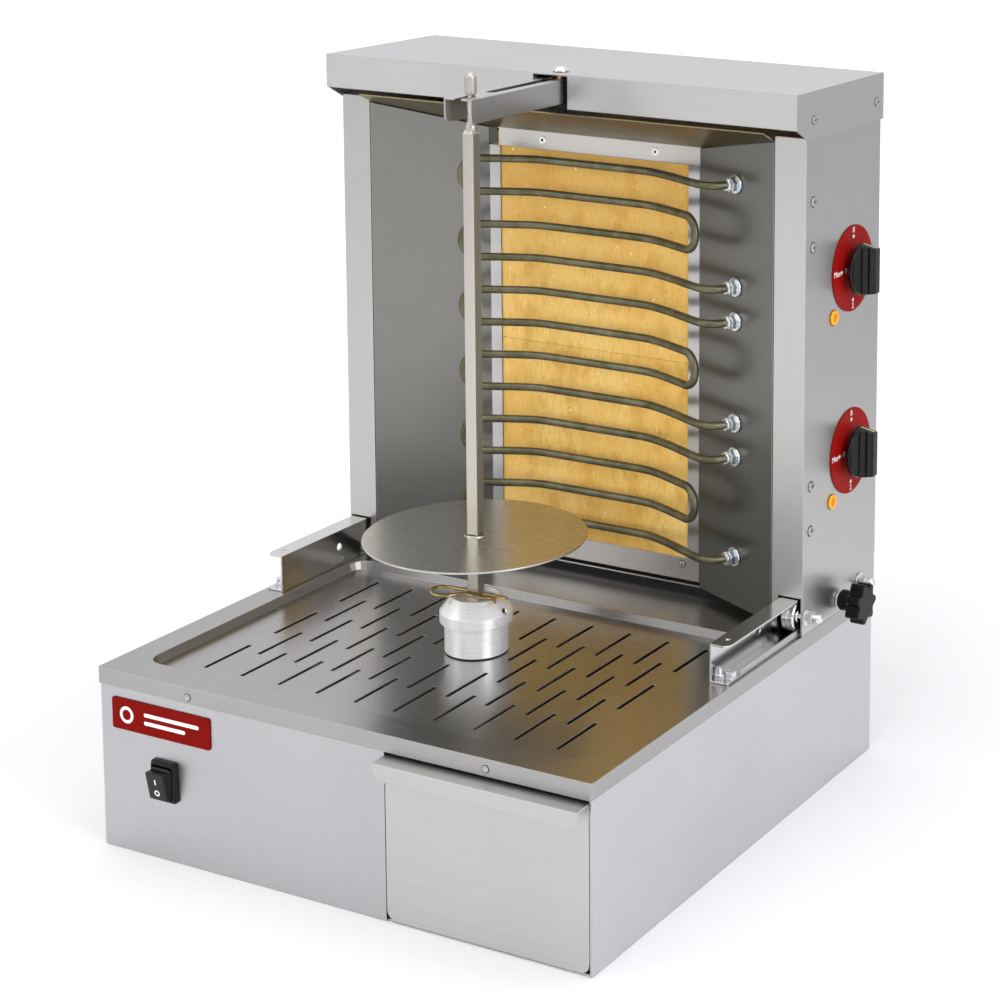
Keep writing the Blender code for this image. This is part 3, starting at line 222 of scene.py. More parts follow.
def insulating_board():
    """Golden mica board: cloudy stains, fine upright fibres, flecks, and painted shade that darkens it towards its top.
    """
    s = Shader("insulating_board", roughness=0.75, specular_ior_level=0.2)
    fibres = s.noise((900, 900, 120), 4.0, 0.65)
    clouds = s.noise((13, 13, 9), 5.0, 0.6)
    stains = s.noise((48, 48, 30), 5.0, 0.65)
    flecks = s.noise((430, 430, 330), 2.0, 0.5)
    specks = s.noise((260, 260, 260), 2.0, 0.5)
    colour = s.mix(s.spread(fibres, 0.0, 1.0, 0.32, 0.68), (0.84, 0.510, 0.130), (0.97, 0.680, 0.230))
    colour = s.mix(s.spread(clouds, 0.0, 0.75, 0.44, 0.66), colour, (0.77, 0.430, 0.080))
    colour = s.mix(s.spread(stains, 0.0, 0.70, 0.50, 0.68), colour, (0.66, 0.345, 0.060))
    colour = s.mix(s.spread(stains, 0.50, 0.0, 0.30, 0.45), colour, (0.93, 0.660, 0.250))
    # painted shade: darker and browner towards the top, under the lid and hood
    height = s.node("SeparateXYZ", {0: s.coordinates((1, 1, 1))}).outputs["Z"]
    colour = s.mix(s.spread(height, 0.0, 0.70, 0.36, 0.54), colour, (0.56, 0.300, 0.062))
    colour = s.mix(s.spread(flecks, 0.0, 0.65, 0.66, 0.74), colour, (0.30, 0.15, 0.04))
    colour = s.mix(s.spread(specks, 0.8, 0.0, 0.24, 0.30), colour, (0.95, 0.82, 0.52))
    s.feed("Base Color", colour)
    s.feed("Roughness", s.spread(fibres, 0.55, 0.85))
    s.bump(fibres, 0.2, 0.08 * MM)
    return s.material


def moulded_plastic(name, tone, roughness=0.30, grain=1800, shine=0.35):
    """Moulded plastic with a fine spark texture and a painted highlight along its edges."""
    s = Shader(name, specular_ior_level=shine)
    texture = s.noise((grain, grain, grain), 2.0)
    handling = s.noise((90, 90, 90), 3.0)
    soft, painted_edge_mask = s.edges(0.8 * MM)
    colour = s.mix(s.spread(handling, 0.0, 1.0, 0.35, 0.7), tone, shaded(tone, 1.4))
    # painted highlight along the edges
    colour = s.mix(s.maths("MULTIPLY", painted_edge_mask, 0.9), colour, tuple(c * 2 + 0.045 for c in tone))
    s.feed("Base Color", colour)
    s.feed("Roughness", s.spread(texture, roughness - 0.06, roughness + 0.10, 0.3, 0.7))
    s.bump(texture, 0.14, 0.05 * MM, soft)
    return s.material


def print_ink(name, tone, roughness=0.32, shine=0.12):
    """Screen-printed enamel with faint orange peel."""
    s = Shader(name, roughness=roughness, specular_ior_level=shine)
    peel = s.noise((700, 700, 700), 2.0)
    clouds = s.noise((45, 45, 45), 3.0)
    s.feed("Base Color", s.mix(s.spread(clouds, 0.0, 1.0, 0.3, 0.7), tone, shaded(tone, 0.88)))
    s.feed("Roughness", s.spread(peel, roughness - 0.05, roughness + 0.08, 0.3, 0.7))
    s.bump(peel, 0.08, 0.05 * MM)
    return s.material


def lamp_lens(name, deep, pale, glow):
    """Orange lens over a lit neon, with fine moulded ribs."""
    s = Shader(name, roughness=0.15, specular_ior_level=0.3)
    ribs = s.noise((500, 500, 500), 2.0)
    colour = s.mix(s.spread(ribs, 0.0, 1.0, 0.3, 0.7), deep, pale)
    s.feed("Base Color", colour)
    s.feed("Emission Color", colour)
    s.surface.inputs["Emission Strength"].default_value = glow
    s.bump(ribs, 0.1, 0.05 * MM)
    return s.material


def cast_iron(name, tone):
    """Painted casting."""
    s = Shader(name, metallic=0.2)
    skin = s.noise((600, 600, 600), 4.0)
    s.feed("Base Color", s.mix(skin, tone, shaded(tone, 1.6)))
    s.feed("Roughness", s.spread(skin, 0.4, 0.65))
    s.bump(skin, 0.3, 0.15 * MM)
    return s.material


def studio_floor():
    """Pale sweep: white to the camera out at a distance, and for the steel's reflections a colour that darkens away
    from a painted pool of light.
    """
    s = Shader("studio_floor", roughness=0.9, specular_ior_level=0.1)
    mottle = s.noise((3, 3, 3), 3.0)
    pale = s.mix(mottle, (0.86, 0.86, 0.86), (0.88, 0.88, 0.88))
    place = s.coordinates((1, 1, 0))
    bright_spot = s.node("VectorMath", {0: place, 1: (-1.2, -2.4, 0.0)}, operation="DISTANCE").outputs["Value"]
    painted_falloff = s.spread(bright_spot, 0.0, 1.0, 3.3, 4.3)
    # painted light: a darker floor colour away from the painted pool of light
    s.feed("Base Color", s.mix(painted_falloff, pale, (0.66, 0.66, 0.66)))
    seen = s.node("LightPath").outputs["Is Camera Ray"]
    outward = s.node("VectorMath", {0: place}, operation="LENGTH").outputs["Value"]
    s.surface.inputs["Emission Color"].default_value = (1, 1, 1, 1)
    s.feed("Emission Strength", s.maths("MULTIPLY", seen, s.spread(outward, 0.0, 0.5, 0.45, 2.0)))
    return s.material


STEEL = (0.585, 0.575, 0.565)

MATERIALS = {
    "steel_across": brushed_steel("steel_across", "X", STEEL),
    # the lid's folds get a painted dark line of shade
    "steel_lid": brushed_steel("steel_lid", "X", STEEL, edge=0.45),
    "steel_side": brushed_steel("steel_side", "Y", (0.530, 0.525, 0.535)),
    # painted light on the base's sides
    "steel_base": brushed_steel("steel_base", "Y", (0.530, 0.525, 0.535), painted_lean=("X", (0.620, 0.612, 0.632))),
    "steel_rail": brushed_steel("steel_rail", "Y", (0.640, 0.632, 0.620), 0.16, 0.3, depth=0.4),
    "steel_upright": brushed_steel("steel_upright", "Z", (0.550, 0.542, 0.530)),
    "steel_deck": brushed_steel("steel_deck", "X", (0.42, 0.41, 0.40), 0.26, 0.4, depth=0.3),
    # painted dark reflection on the reflectors' faces
    "steel_left": brushed_steel("steel_left", "Z", STEEL, 0.34, 0.4, painted_lean=("X", (0.235, 0.232, 0.218))),
    "steel_right": brushed_steel("steel_right", "Z", STEEL, 0.32, 0.4, painted_lean=("X", (0.200, 0.199, 0.182))),
    # painted reflection of the board and deck on the hood
    "steel_hood": brushed_steel("steel_hood", "X", (0.62, 0.60, 0.565), 0.30, 0.3, painted_lean=("Z", (0.195, 0.150, 0.055))),
    # near-black steel used as painted shade
    "painted_shade_steel": brushed_steel("painted_shade_steel", "Z", (0.11, 0.105, 0.095), 0.36),
    "steel_disc": brushed_steel("steel_disc", "X", (0.60, 0.585, 0.53), 0.27, 0.3, depth=0.2),
    "steel_bar": brushed_steel("steel_bar", "Z", (0.58, 0.55, 0.485), 0.30, 0.4),
    "aluminium": turned_metal("aluminium", (0.95, 0.95, 0.95), 0.28, pitch=2600, metallic=0.45),
    "bright_screw": turned_metal("bright_screw", (0.80, 0.80, 0.78), 0.18, "Z", 900),
    "screw_steel": turned_metal("screw_steel", (0.50, 0.49, 0.47), 0.20, "Z", 900),
    "zinc": plated("zinc", (0.62, 0.67, 0.74), (0.78, 0.78, 0.76)),
    "gold": plated("gold", (0.52, 0.34, 0.085), (0.60, 0.43, 0.22), 0.14),
    "brass": plated("brass", (0.75, 0.50, 0.20), (0.80, 0.60, 0.28)),
    "tube": heater_tube(),
    "board": insulating_board(),
    "black": moulded_plastic("black_plastic", (0.004, 0.004, 0.004), 0.22, 1800, 0.30),
    "black_gloss": moulded_plastic("black_gloss", (0.003, 0.003, 0.003), 0.12, 1800, 0.14),
    "rubber": moulded_plastic("black_rubber", (0.003, 0.003, 0.002), 0.32, 1200, 0.20),
    "black_metal_and_shade": print_ink("black_metal_and_shade", (0.006, 0.006, 0.006), 0.38),
    "red": print_ink("red_enamel", (0.205, 0.0045, 0.0025), 0.32, 0.03),
    "dial_red": print_ink("dial_red", (0.31, 0.0058, 0.0040), 0.36, 0.05),
    "white": print_ink("white_ink", (0.88, 0.88, 0.86), 0.45),
    "pointer": print_ink("pointer_ink", (0.70, 0.76, 0.28), 0.4),
    "lamp": lamp_lens("lamp_rim", (0.86, 0.30, 0.004), (1.0, 0.50, 0.015), 0.14),
    "lamp_core": lamp_lens("lamp_core", (0.66, 0.14, 0.002), (0.86, 0.24, 0.004), 0.05),
    "iron": cast_iron("gearbox_paint", (0.05, 0.055, 0.06)),
    "ceramic": moulded_plastic("glazed_ceramic", (0.62, 0.61, 0.57), 0.2, 500, 0.5),
}

NODE_LOOKS = {
    "steel_across": ["base_floor", "drawer_front", "drawer_pan", "drip_chute", "cabinet_back", "cabinet_floor",
                     "board_bottom_strip"],
    "steel_lid": ["top_lid"],
    "steel_deck": ["top_deck"],
    "steel_upright": ["cabinet_left_side", "cabinet_right_side"],
    "steel_side": ["drawer_cradle", "spit_arm"],
    "steel_base": ["base_shell"],
    "steel_rail": ["left_rail", "right_rail"],
    "steel_left": ["left_reflector"],
    "steel_right": ["right_reflector"],
    "steel_hood": ["hood_sheet"],
    "zinc": ["motor_bracket", "output_shaft"],
    "brass": ["shaft_bearing", "regulator_spindle_upper", "regulator_spindle_lower"],
    "board": ["insulating_board_lower", "insulating_board_upper"],
    "black": ["mains_inlet"],
    "black_metal_and_shade": ["arm_guide"],
    "iron": ["gearbox", "motor"],
    "ceramic": ["terminal_block", "regulator_upper", "regulator_lower"],
    "red": ["badge_plate"],
}


def dress_nodes():
    """Gives each CAD node that stays in view its finished material."""
    for look, names in NODE_LOOKS.items():
        for name in names:
            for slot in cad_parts[name].material_slots:
                slot.material = MATERIALS[look]


# ---------------------------------------------------------------- modelling tools

def add_piece(name, mesh, look, body, node=None):
    """Links a mesh as a piece that rides on a body and may stand for a CAD node."""
    piece = bpy.data.objects.new(name, mesh)
    bpy.context.scene.collection.objects.link(piece)
    mesh.materials.clear()
    mesh.materials.append(MATERIALS[look])
    shade(piece)
    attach(piece, body)
    if node:
        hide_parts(node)
    return piece


def shade(piece):
    """Smooth shading that keeps flat faces flat and sharp edges sharp."""
    piece.data.shade_smooth()
    piece.data.set_sharp_from_angle(angle=math.radians(32))
    for modifier in [m for m in piece.modifiers if m.type == "WEIGHTED_NORMAL"]:
        piece.modifiers.remove(modifier)
    piece.modifiers.new("flat_faces", "WEIGHTED_NORMAL").keep_sharp = True


def to_mesh(bm, name):
    mesh = bpy.data.meshes.new(name)
    bmesh.ops.recalc_face_normals(bm, faces=bm.faces)
    bm.to_mesh(mesh)
    bm.free()
    return mesh


def turn_towards(direction, place):
    """Matrix that carries +Z to a direction and the origin to a place."""
    return Matrix.Translation(place) @ Vector(direction).to_track_quat("Z", "Y").to_matrix().to_4x4()


def fillet(points, radius, steps=4):
    """Rounds every inner corner of an open line of 2-D points."""
    rounded = [Vector(points[0])]
    for before, corner, after in zip(points, points[1:], points[2:]):
        corner = Vector(corner)
        back, on = Vector(before) - corner, Vector(after) - corner
        reach = min(radius, back.length * 0.45, on.length * 0.45)
        start, end = corner + back.normalized() * reach, corner + on.normalized() * reach
        for i in range(steps + 1):
            t = i / steps
            rounded.append(start * (1 - t) ** 2 + corner * 2 * t * (1 - t) + end * t ** 2)
    rounded.append(Vector(points[-1]))
    return rounded


def lathe_into(bm, profile, matrix, steps=72, rounding=0.3 * MM):
    """Spins a (radius, height) profile round +Z and adds it to bm."""
    line = fillet(profile, rounding) if rounding else [Vector(p) for p in profile]
    verts = [bm.verts.new((max(r, 0.0), 0.0, h)) for r, h in line]
    edges = [bm.edges.new(pair) for pair in zip(verts, verts[1:])]
    spun = bmesh.ops.spin(bm, geom=verts + edges, cent=(0, 0, 0), axis=(0, 0, 1), dvec=(0, 0, 0),
                          angle=2 * math.pi, steps=steps, use_merge=True)
    made = {v for item in spun["geom_last"] for v in getattr(item, "verts", [item])}
    made.update(verts)
    island = grow(made)
    bmesh.ops.transform(bm, matrix=matrix, verts=list(island))
    bmesh.ops.remove_doubles(bm, verts=list(island), dist=0.003 * MM)


def grow(seeds):
    """All vertices connected to the seeds."""
    found, queue = set(seeds), list(seeds)
    while queue:
        for edge in queue.pop().link_edges:
            for vert in edge.verts:
                if vert not in found:
                    found.add(vert)
                    queue.append(vert)
    return found


def lathe(name, profile, place, direction, look, body, node=None, steps=72, rounding=0.3 * MM):
    bm = bmesh.new()
    lathe_into(bm, profile, turn_towards(direction, place), steps, rounding)
    return add_piece(name, to_mesh(bm, name), look, body, node)


def prism_into(bm, outline, low, high, matrix, bevel=0.0):
    """Extrudes a closed (x, y) outline from low to high along +Z and adds it to bm."""
    base = [bm.verts.new((x, y, low)) for x, y in outline]
    face = bm.faces.new(base)
    top = bmesh.ops.extrude_face_region(bm, geom=[face])["geom"]
    raised = [item for item in top if isinstance(item, bmesh.types.BMVert)]
    bmesh.ops.translate(bm, vec=(0, 0, high - low), verts=raised)
    if bevel:
        rims = {e for v in raised for e in v.link_edges if all(w in raised for w in e.verts)}
        bmesh.ops.bevel(bm, geom=list(rims), offset=bevel, segments=3, profile=0.6, affect="EDGES")
    bmesh.ops.transform(bm, matrix=matrix, verts=list(grow([v for v in base if v.is_valid])))


def polygon(sides, radius, turn=0.0):
    return [(radius * math.cos(2 * math.pi * i / sides + turn), radius * math.sin(2 * math.pi * i / sides + turn))
            for i in range(sides)]


def rounded_rectangle(width, height, radius, steps=6):
    points = []
    for quarter, (sx, sy) in enumerate(((1, 1), (-1, 1), (-1, -1), (1, -1))):
        cx, cy = sx * (width / 2 - radius), sy * (height / 2 - radius)
        for i in range(steps + 1):
            angle = math.pi / 2 * (quarter + i / steps)
            points.append((cx + radius * math.cos(angle), cy + radius * math.sin(angle)))
    return points


def tube(name, points, radius, look, body, node=None, resolution=6):
    """A smooth round bar along a list of points."""
    curve = bpy.data.curves.new(name, "CURVE")
    curve.dimensions = "3D"
    curve.bevel_depth = radius
    curve.bevel_resolution = resolution
    curve.use_fill_caps = True
    spline = curve.splines.new("POLY")
    spline.points.add(len(points) - 1)
    for point, place in zip(spline.points, points):
        point.co = (*place, 1.0)
    spline.use_smooth = True
    piece = bpy.data.objects.new(name, curve)
    bpy.context.scene.collection.objects.link(piece)
    curve.materials.append(MATERIALS[look])
    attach(piece, body)
    if node:
        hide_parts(node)
    return piece


def smooth_line(points, steps=8):
    """Catmull-Rom curve through a list of points."""
    points = [Vector(p) for p in points]
    ends = [points[0] * 2 - points[1]] + points + [points[-1] * 2 - points[-2]]
    line = []
    for a, b, c, d in zip(ends, ends[1:], ends[2:], ends[3:]):
        for i in range(steps):
            t = i / steps
            line.append(0.5 * (2 * b + (c - a) * t + (2 * a - 5 * b + 4 * c - d) * t ** 2
                               + (3 * b - a - 3 * c + d) * t ** 3))
    line.append(points[-1])
    return line


# ---------------------------------------------------------------- drive and spit

def make_hub():
    """Turned aluminium hub with its collar, cone, dished top and cross hole."""
    low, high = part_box("drive_hub")
    bottom, top, widest = low[2], high[2], high[0]
    collar = bottom + 0.55 * (top - bottom)
    profile = [(0, top - 3 * MM), (16.5 * MM, top - 3 * MM), (18.4 * MM, top), (20.2 * MM, top),
               (widest, top - 12.4 * MM), (widest, collar), (widest - 3.8 * MM, collar - 1.2 * MM),
               (widest - 3.8 * MM, bottom), (0, bottom)]
    hub = lathe("hub_turned", profile, (0, 0, 0), UP, "aluminium", "spit", "drive_hub", 128, 0.12 * MM)
    drill = bmesh.new()
    bmesh.ops.create_cone(drill, cap_ends=True, segments=32, radius1=2.5 * MM, radius2=2.5 * MM, depth=22 * MM)
    bmesh.ops.transform(drill, matrix=turn_towards((1, 0, 0), (30 * MM, 0, top - 10.2 * MM)), verts=drill.verts)
    carve(hub, drill)
    # painted shade: a black disc just inside the cross hole
    shade_disc = [(0, 0.4 * MM), (2.45 * MM, 0.4 * MM), (2.45 * MM, 0)]
    lathe("hub_hole_shade", shade_disc, (26 * MM, 0, top - 10.2 * MM), (1, 0, 0), "black_metal_and_shade", "spit", None, 24, 0.0)


def carve(piece, cutter_bm, nested=False):
    """Cuts a bmesh out of a piece; nested says that the piece is built of touching solids."""
    cutter = bpy.data.objects.new("cutter", to_mesh(cutter_bm, "cutter"))
    bpy.context.scene.collection.objects.link(cutter)
    boolean = piece.modifiers.new("cut", "BOOLEAN")
    boolean.object = cutter
    boolean.solver = "EXACT"
    boolean.use_self = nested
    graph = bpy.context.evaluated_depsgraph_get()
    mesh = bpy.data.meshes.new_from_object(piece.evaluated_get(graph))
    piece.modifiers.clear()
    piece.data = mesh
    shade(piece)
    bpy.data.objects.remove(cutter, do_unlink=True)


def make_disc():
    """Thin meat disc with a rolled bright edge and a raised ring round the spit."""
    low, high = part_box("meat_disc")
    top = high[2] - 0.7 * MM
    radius = high[0]
    profile = [(8.2 * MM, top), (radius, top), (radius, low[2]), (7.4 * MM, low[2])]
    lathe("disc_sheet", profile, (0, 0, 0), UP, "steel_disc", "spit", "meat_disc", 160, 0.45 * MM)
    collar = [(7.3 * MM, low[2] - 0.5 * MM), (8.7 * MM, low[2] - 0.5 * MM), (8.9 * MM, high[2]), (7.3 * MM, high[2])]
    lathe("disc_ring", collar[::-1], (0, 0, 0), UP, "bright_screw", "spit", None, 64, 0.3 * MM)


def make_spit():
    """Square bar with a pyramid shoulder, a neck and a rounded pin."""
    low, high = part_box("spit_bar")
    half, tip = high[0], high[2]
    shoulder = tip - 48.8 * MM
    bm = bmesh.new()
    prism_into(bm, rounded_rectangle(2 * half, 2 * half, 0.8 * MM, 3), low[2], shoulder, Matrix.Identity(4))
    ends = [v for v in bm.verts if v.co.z > shoulder - MM]
    cap = [f for f in bm.faces if all(v in ends for v in f.verts)]
    raised = bmesh.ops.extrude_face_region(bm, geom=cap)["geom"]
    crown = [item for item in raised if isinstance(item, bmesh.types.BMVert)]
    bmesh.ops.translate(bm, vec=(0, 0, 3.6 * MM), verts=crown)
    bmesh.ops.scale(bm, vec=(0.66, 0.66, 1.0), verts=crown)
    pin = [(0, tip), (2.4 * MM, tip - 0.2 * MM), (4.7 * MM, tip - 3.2 * MM), (4.7 * MM, tip - 17.6 * MM),
           (2.8 * MM, tip - 18.4 * MM), (2.8 * MM, tip - 21.6 * MM), (3.5 * MM, tip - 22.4 * MM),
           (3.5 * MM, tip - 28 * MM), (2.9 * MM, tip - 31.5 * MM), (2.9 * MM, tip - 38 * MM),
           (4.6 * MM, tip - 43.6 * MM), (4.6 * MM, tip - 50 * MM)]
    lathe_into(bm, pin, Matrix.Identity(4), 64, 1.0 * MM)
    add_piece("spit_forged", to_mesh(bm, "spit_forged"), "steel_bar", "spit", "spit_bar")


def make_clip():
    """Hairpin clip: one straight leg through the spit, one wavy leg round it."""
    height = middle("hairpin_clip").z
    straight = [(30 * MM, 0.0), (0.0, 0.0), (-20 * MM, 0.0)]
    loop = [(-29.5 * MM, -1.0 * MM), (-34.8 * MM, -7 * MM), (-34 * MM, -14.6 * MM), (-27 * MM, -20 * MM)]
    wave = [(-17 * MM, -18.6 * MM), (-11 * MM, -11.5 * MM), (-5 * MM, -8.0 * MM), (2 * MM, -8.3 * MM),
            (8 * MM, -9.4 * MM), (13 * MM, -8.6 * MM), (18 * MM, -6.2 * MM), (23 * MM, -8 * MM), (27 * MM, -12 * MM)]
    line = smooth_line([(x, y, height) for x, y in straight + loop + wave])
    tube("clip_wire", line, 1.3 * MM, "gold", "spit", "hairpin_clip")


# ---------------------------------------------------------------- heating elements

ELEMENT_PITCH = 28.9 * MM
SHIFT = 7 * MM
LEG_Y = 163.5 * MM


def element_leg():
    """Plan of a leg, left to right: wings that come forward from a straight middle."""
    half = [(0, 0), (30 * MM, 0.0), (50 * MM, -0.4 * MM), (62 * MM, -2.6 * MM), (78 * MM, -8.8 * MM),
            (92 * MM, -15.2 * MM), (104.1 * MM, -21.1 * MM)]
    left = [(-x, y) for x, y in reversed(half[1:])]
    return [(x + SHIFT, LEG_Y + y) for x, y in left + half]


def bend(tip, before, z_from, z_to, steps=12):
    """Half turn past the tip of one leg to the next leg's height."""
    out = (Vector(tip) - Vector(before)).normalized()
    radius = abs(z_from - z_to) / 2
    points = []
    for i in range(1, steps):
        angle = math.pi * i / steps
        reach = radius * math.sin(angle)
        z = z_from + (z_to - z_from) * (1 - math.cos(angle)) / 2
        points.append((tip[0] + out.x * reach, tip[1] + out.y * reach, z))
    return points


def reflector_face():
    """(point, outward normal) of the right reflector where the glands sit, in plan."""
    normal = Vector((0.4195, 0.9078, 0.0))
    return Vector((154.2 * MM, 151.2 * MM, 0.0)), normal


def tail():
    """End of an outer leg, from the wing into its gland."""
    face, normal = reflector_face()
    end = face - normal * 9 * MM
    return [(121 * MM, 137.2 * MM), (132 * MM, 132.8 * MM), (141.5 * MM, 133.2 * MM), tuple(end.xy)]


def make_element(level):
    """One tubular heater of four legs, and its two glands."""
    node = "heating_element_" + level
    low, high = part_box(node)
    span = 3 * ELEMENT_PITCH
    top = (low[2] + high[2]) / 2 + span / 2
    leg = element_leg()
    heights = [top - ELEMENT_PITCH * i for i in range(4)]
    inner = leg[1:-1]
    line = [(x, y, heights[0]) for x, y in reversed(tail())]
    line += [(x, y, heights[0]) for x, y in reversed(leg[:-1])]
    line += bend(leg[0], leg[1], heights[0], heights[1])
    line += [(x, y, heights[1]) for x, y in leg]
    line += bend(leg[-1], leg[-2], heights[1], heights[2])
    line += [(x, y, heights[2]) for x, y in reversed(leg)]
    line += bend(leg[0], leg[1], heights[2], heights[3])
    line += [(x, y, heights[3]) for x, y in [leg[0]] + inner]
    line += [(x, y, heights[3]) for x, y in tail()]
    tube("element_" + level, smooth_line(line, 4), 3.4 * MM, "tube", "heater", node, 8)
    for i, z in enumerate((heights[0], heights[3])):
        make_gland("gland_%s_%d" % (level, i), z)


def make_gland(name, z):
    """Zinc-plated hexagon, collar and washer round a heater leg."""
    face, normal = reflector_face()
    place = turn_towards(-normal, face + Vector((0, 0, z)))
    bm = bmesh.new()
    prism_into(bm, polygon(6, 6.7 * MM, 0.3), 2.2 * MM, 7.4 * MM, place, 0.5 * MM)
    lathe_into(bm, [(0, 11 * MM), (4.6 * MM, 11 * MM), (5.2 * MM, 9.6 * MM), (5.2 * MM, 7.2 * MM), (0, 7.2 * MM)],
               place, 32)
    lathe_into(bm, [(0, 2.2 * MM), (8.0 * MM, 2.2 * MM), (8.4 * MM, 1.2 * MM), (8.4 * MM, 0.4 * MM), (0, 0.4 * MM)],
               place, 40)
    for groove in (8.2 * MM, 9.2 * MM, 10.2 * MM):
        lathe_into(bm, [(4.9 * MM, groove + 0.4 * MM), (5.6 * MM, groove), (4.9 * MM, groove - 0.4 * MM)], place, 32,
                   0.0)
    add_piece(name, to_mesh(bm, name), "zinc", "heater")


# ---------------------------------------------------------------- controls

def make_dial(level):
    """Red dial with its printed marks, and the regulator's fixing screws beside the knob."""
    node = "dial_plate_" + level
    low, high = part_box(node)
    centre = middle(node)
    radius = (high[2] - low[2]) / 2
    profile = [(6 * MM, 0.8 * MM), (radius, 0.8 * MM), (radius, 0.0), (6 * MM, 0.0)]
    lathe("dial_" + level, profile, (low[0], centre.y, centre.z), (1, 0, 0), "dial_red", "heater", node, 128, 0.25 * MM)
    face = Vector((high[0], centre.y, centre.z))
    for text, angle, dot_at, text_at, height in (("0", 90, 0.74, 0.885, 6.6 * MM), ("2", 270, 0.74, 0.885, 6.6 * MM),
                                                 ("Max", 180, 0.575, 0.79, 6.8 * MM)):
        turn = math.radians(angle)
        out = Vector((0, math.cos(turn), math.sin(turn))) * radius
        dot = [(0, 0.15 * MM), (1.6 * MM, 0.15 * MM), (1.6 * MM, -0.1 * MM)]
        lathe("dial_%s_dot_%d" % (level, angle), dot, face + out * dot_at, (1, 0, 0), "white", "heater", None, 20, 0.0)
        label("dial_%s_mark_%d" % (level, angle), text, face + out * text_at, height, "heater")
    for side in (-1, 1):
        place = face + Vector((0, side * 12.6 * MM, 0))
        screw("dial_%s_screw_%d" % (level, side + 1), place, (1, 0, 0), 2.3 * MM, "heater")


def label(name, text, place, height, body):
    """A flat printed figure on a face that looks along +X."""
    curve = bpy.data.curves.new(name, "FONT")
    curve.body = text
    curve.size = height
    curve.align_x = "CENTER"
    curve.align_y = "CENTER"
    curve.extrude = 0.06 * MM
    curve.offset = 0.1 * MM
    curve.materials.append(MATERIALS["white"])
    piece = bpy.data.objects.new(name, curve)
    bpy.context.scene.collection.objects.link(piece)
    piece.rotation_euler = (math.pi / 2, 0, math.pi / 2)
    piece.location = Vector(place) + Vector((0.08 * MM, 0, 0))
    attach(piece, body)
    return piece


def upright_cutter(bm, radius, width, place):
    """Adds a tall upright cylinder, squashed to width along X, for cutting a hollow."""
    made = bmesh.ops.create_cone(bm, cap_ends=True, segments=64, radius1=radius, radius2=radius,
                                 depth=80 * MM)["verts"]
    bmesh.ops.scale(bm, vec=(width, 1.0, 1.0), verts=made)
    bmesh.ops.translate(bm, vec=Vector(place), verts=made)


def make_knob(level):
    """Regulator knob: boss, raised skirt, scooped grip bar and a pointer line along its top."""
    node = "regulator_knob_" + level
    body = level + "_knob"
    low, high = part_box(node)
    centre = middle(node)
    radius = (high[2] - low[2]) / 2
    depth = high[0] - low[0]
    boss, skirt, front = 9 * MM, 5.6 * MM, radius * 0.87
    profile = [(0, depth), (front, depth), (radius, skirt + 2.0 * MM), (radius * 0.97, skirt), (boss, skirt),
               (boss, 0), (0, 0)]
    knob = lathe("knob_" + level, profile, (low[0], centre.y, centre.z), (1, 0, 0), "black", body, node, 96, 0.8 * MM)
    scoops, grooves = bmesh.new(), bmesh.new()
    grip, reach, groove = 3.6 * MM, 17.4 * MM, 4.2 * MM
    for side in (-1, 1):
        width = (depth - skirt - 3.4 * MM) / reach
        upright_cutter(scoops, reach, width, (high[0], centre.y + side * (grip + reach), centre.z))
        across = centre.y + side * (grip + 4.9 * MM)
        upright_cutter(grooves, groove, 1.0, (high[0] - 0.42 * (depth - skirt), across, centre.z))
    carve(knob, scoops)
    carve(knob, grooves)
    soften(knob, 1.0 * MM)
    start = Vector((low[0] + skirt + 3.0 * MM, centre.y, centre.z + radius * 0.985))
    end = Vector((high[0] - 0.9 * MM, centre.y, centre.z + front * 1.005))
    bm = bmesh.new()
    line = rounded_rectangle((end - start).length, 1.3 * MM, 0.4 * MM, 3)
    slope = Matrix.Rotation(math.atan2(start.z - end.z, end.x - start.x), 4, "Y")
    prism_into(bm, line, -0.2 * MM, 0.15 * MM, Matrix.Translation((start + end) / 2) @ slope)
    add_piece("knob_pointer_" + level, to_mesh(bm, "pointer"), "pointer", body)


def soften(piece, width, segments=3):
    """Rounds the sharp edges of a piece."""
    bevel = piece.modifiers.new("rounding", "BEVEL")
    bevel.width = width
    bevel.segments = segments
    bevel.limit_method = "ANGLE"
    bevel.angle_limit = math.radians(40)
    shade(piece)


def make_lamp(level):
    """Flat neon lamp: a ringed rim round a low dome."""
    node = "pilot_lamp_" + level
    low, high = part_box(node)
    centre = middle(node)
    radius = (high[2] - low[2]) / 2
    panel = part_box("cabinet_right_side")[1][0]
    place = (panel, centre.y, centre.z)
    rim = [(3.4 * MM, 1.0 * MM), (4.2 * MM, 2.4 * MM), (radius - 0.5 * MM, 2.2 * MM), (radius, 0.1 * MM)]
    lathe("lamp_" + level, rim, place, (1, 0, 0), "lamp", "heater", node, 64, 0.5 * MM)
    dome = [(0, 2.6 * MM), (2.0 * MM, 2.3 * MM), (3.5 * MM, 1.0 * MM), (3.5 * MM, 0.2 * MM)]
    lathe("lamp_core_" + level, dome, place, (1, 0, 0), "lamp_core", "heater", None, 48, 0.6 * MM)
    seat = [(radius - 0.6 * MM, 0.5 * MM), (radius + 0.5 * MM, 0.4 * MM), (radius + 0.5 * MM, 0.05 * MM)]
    lathe("lamp_seat_" + level, seat, place, (1, 0, 0), "black", "heater", None, 48, 0.1 * MM)


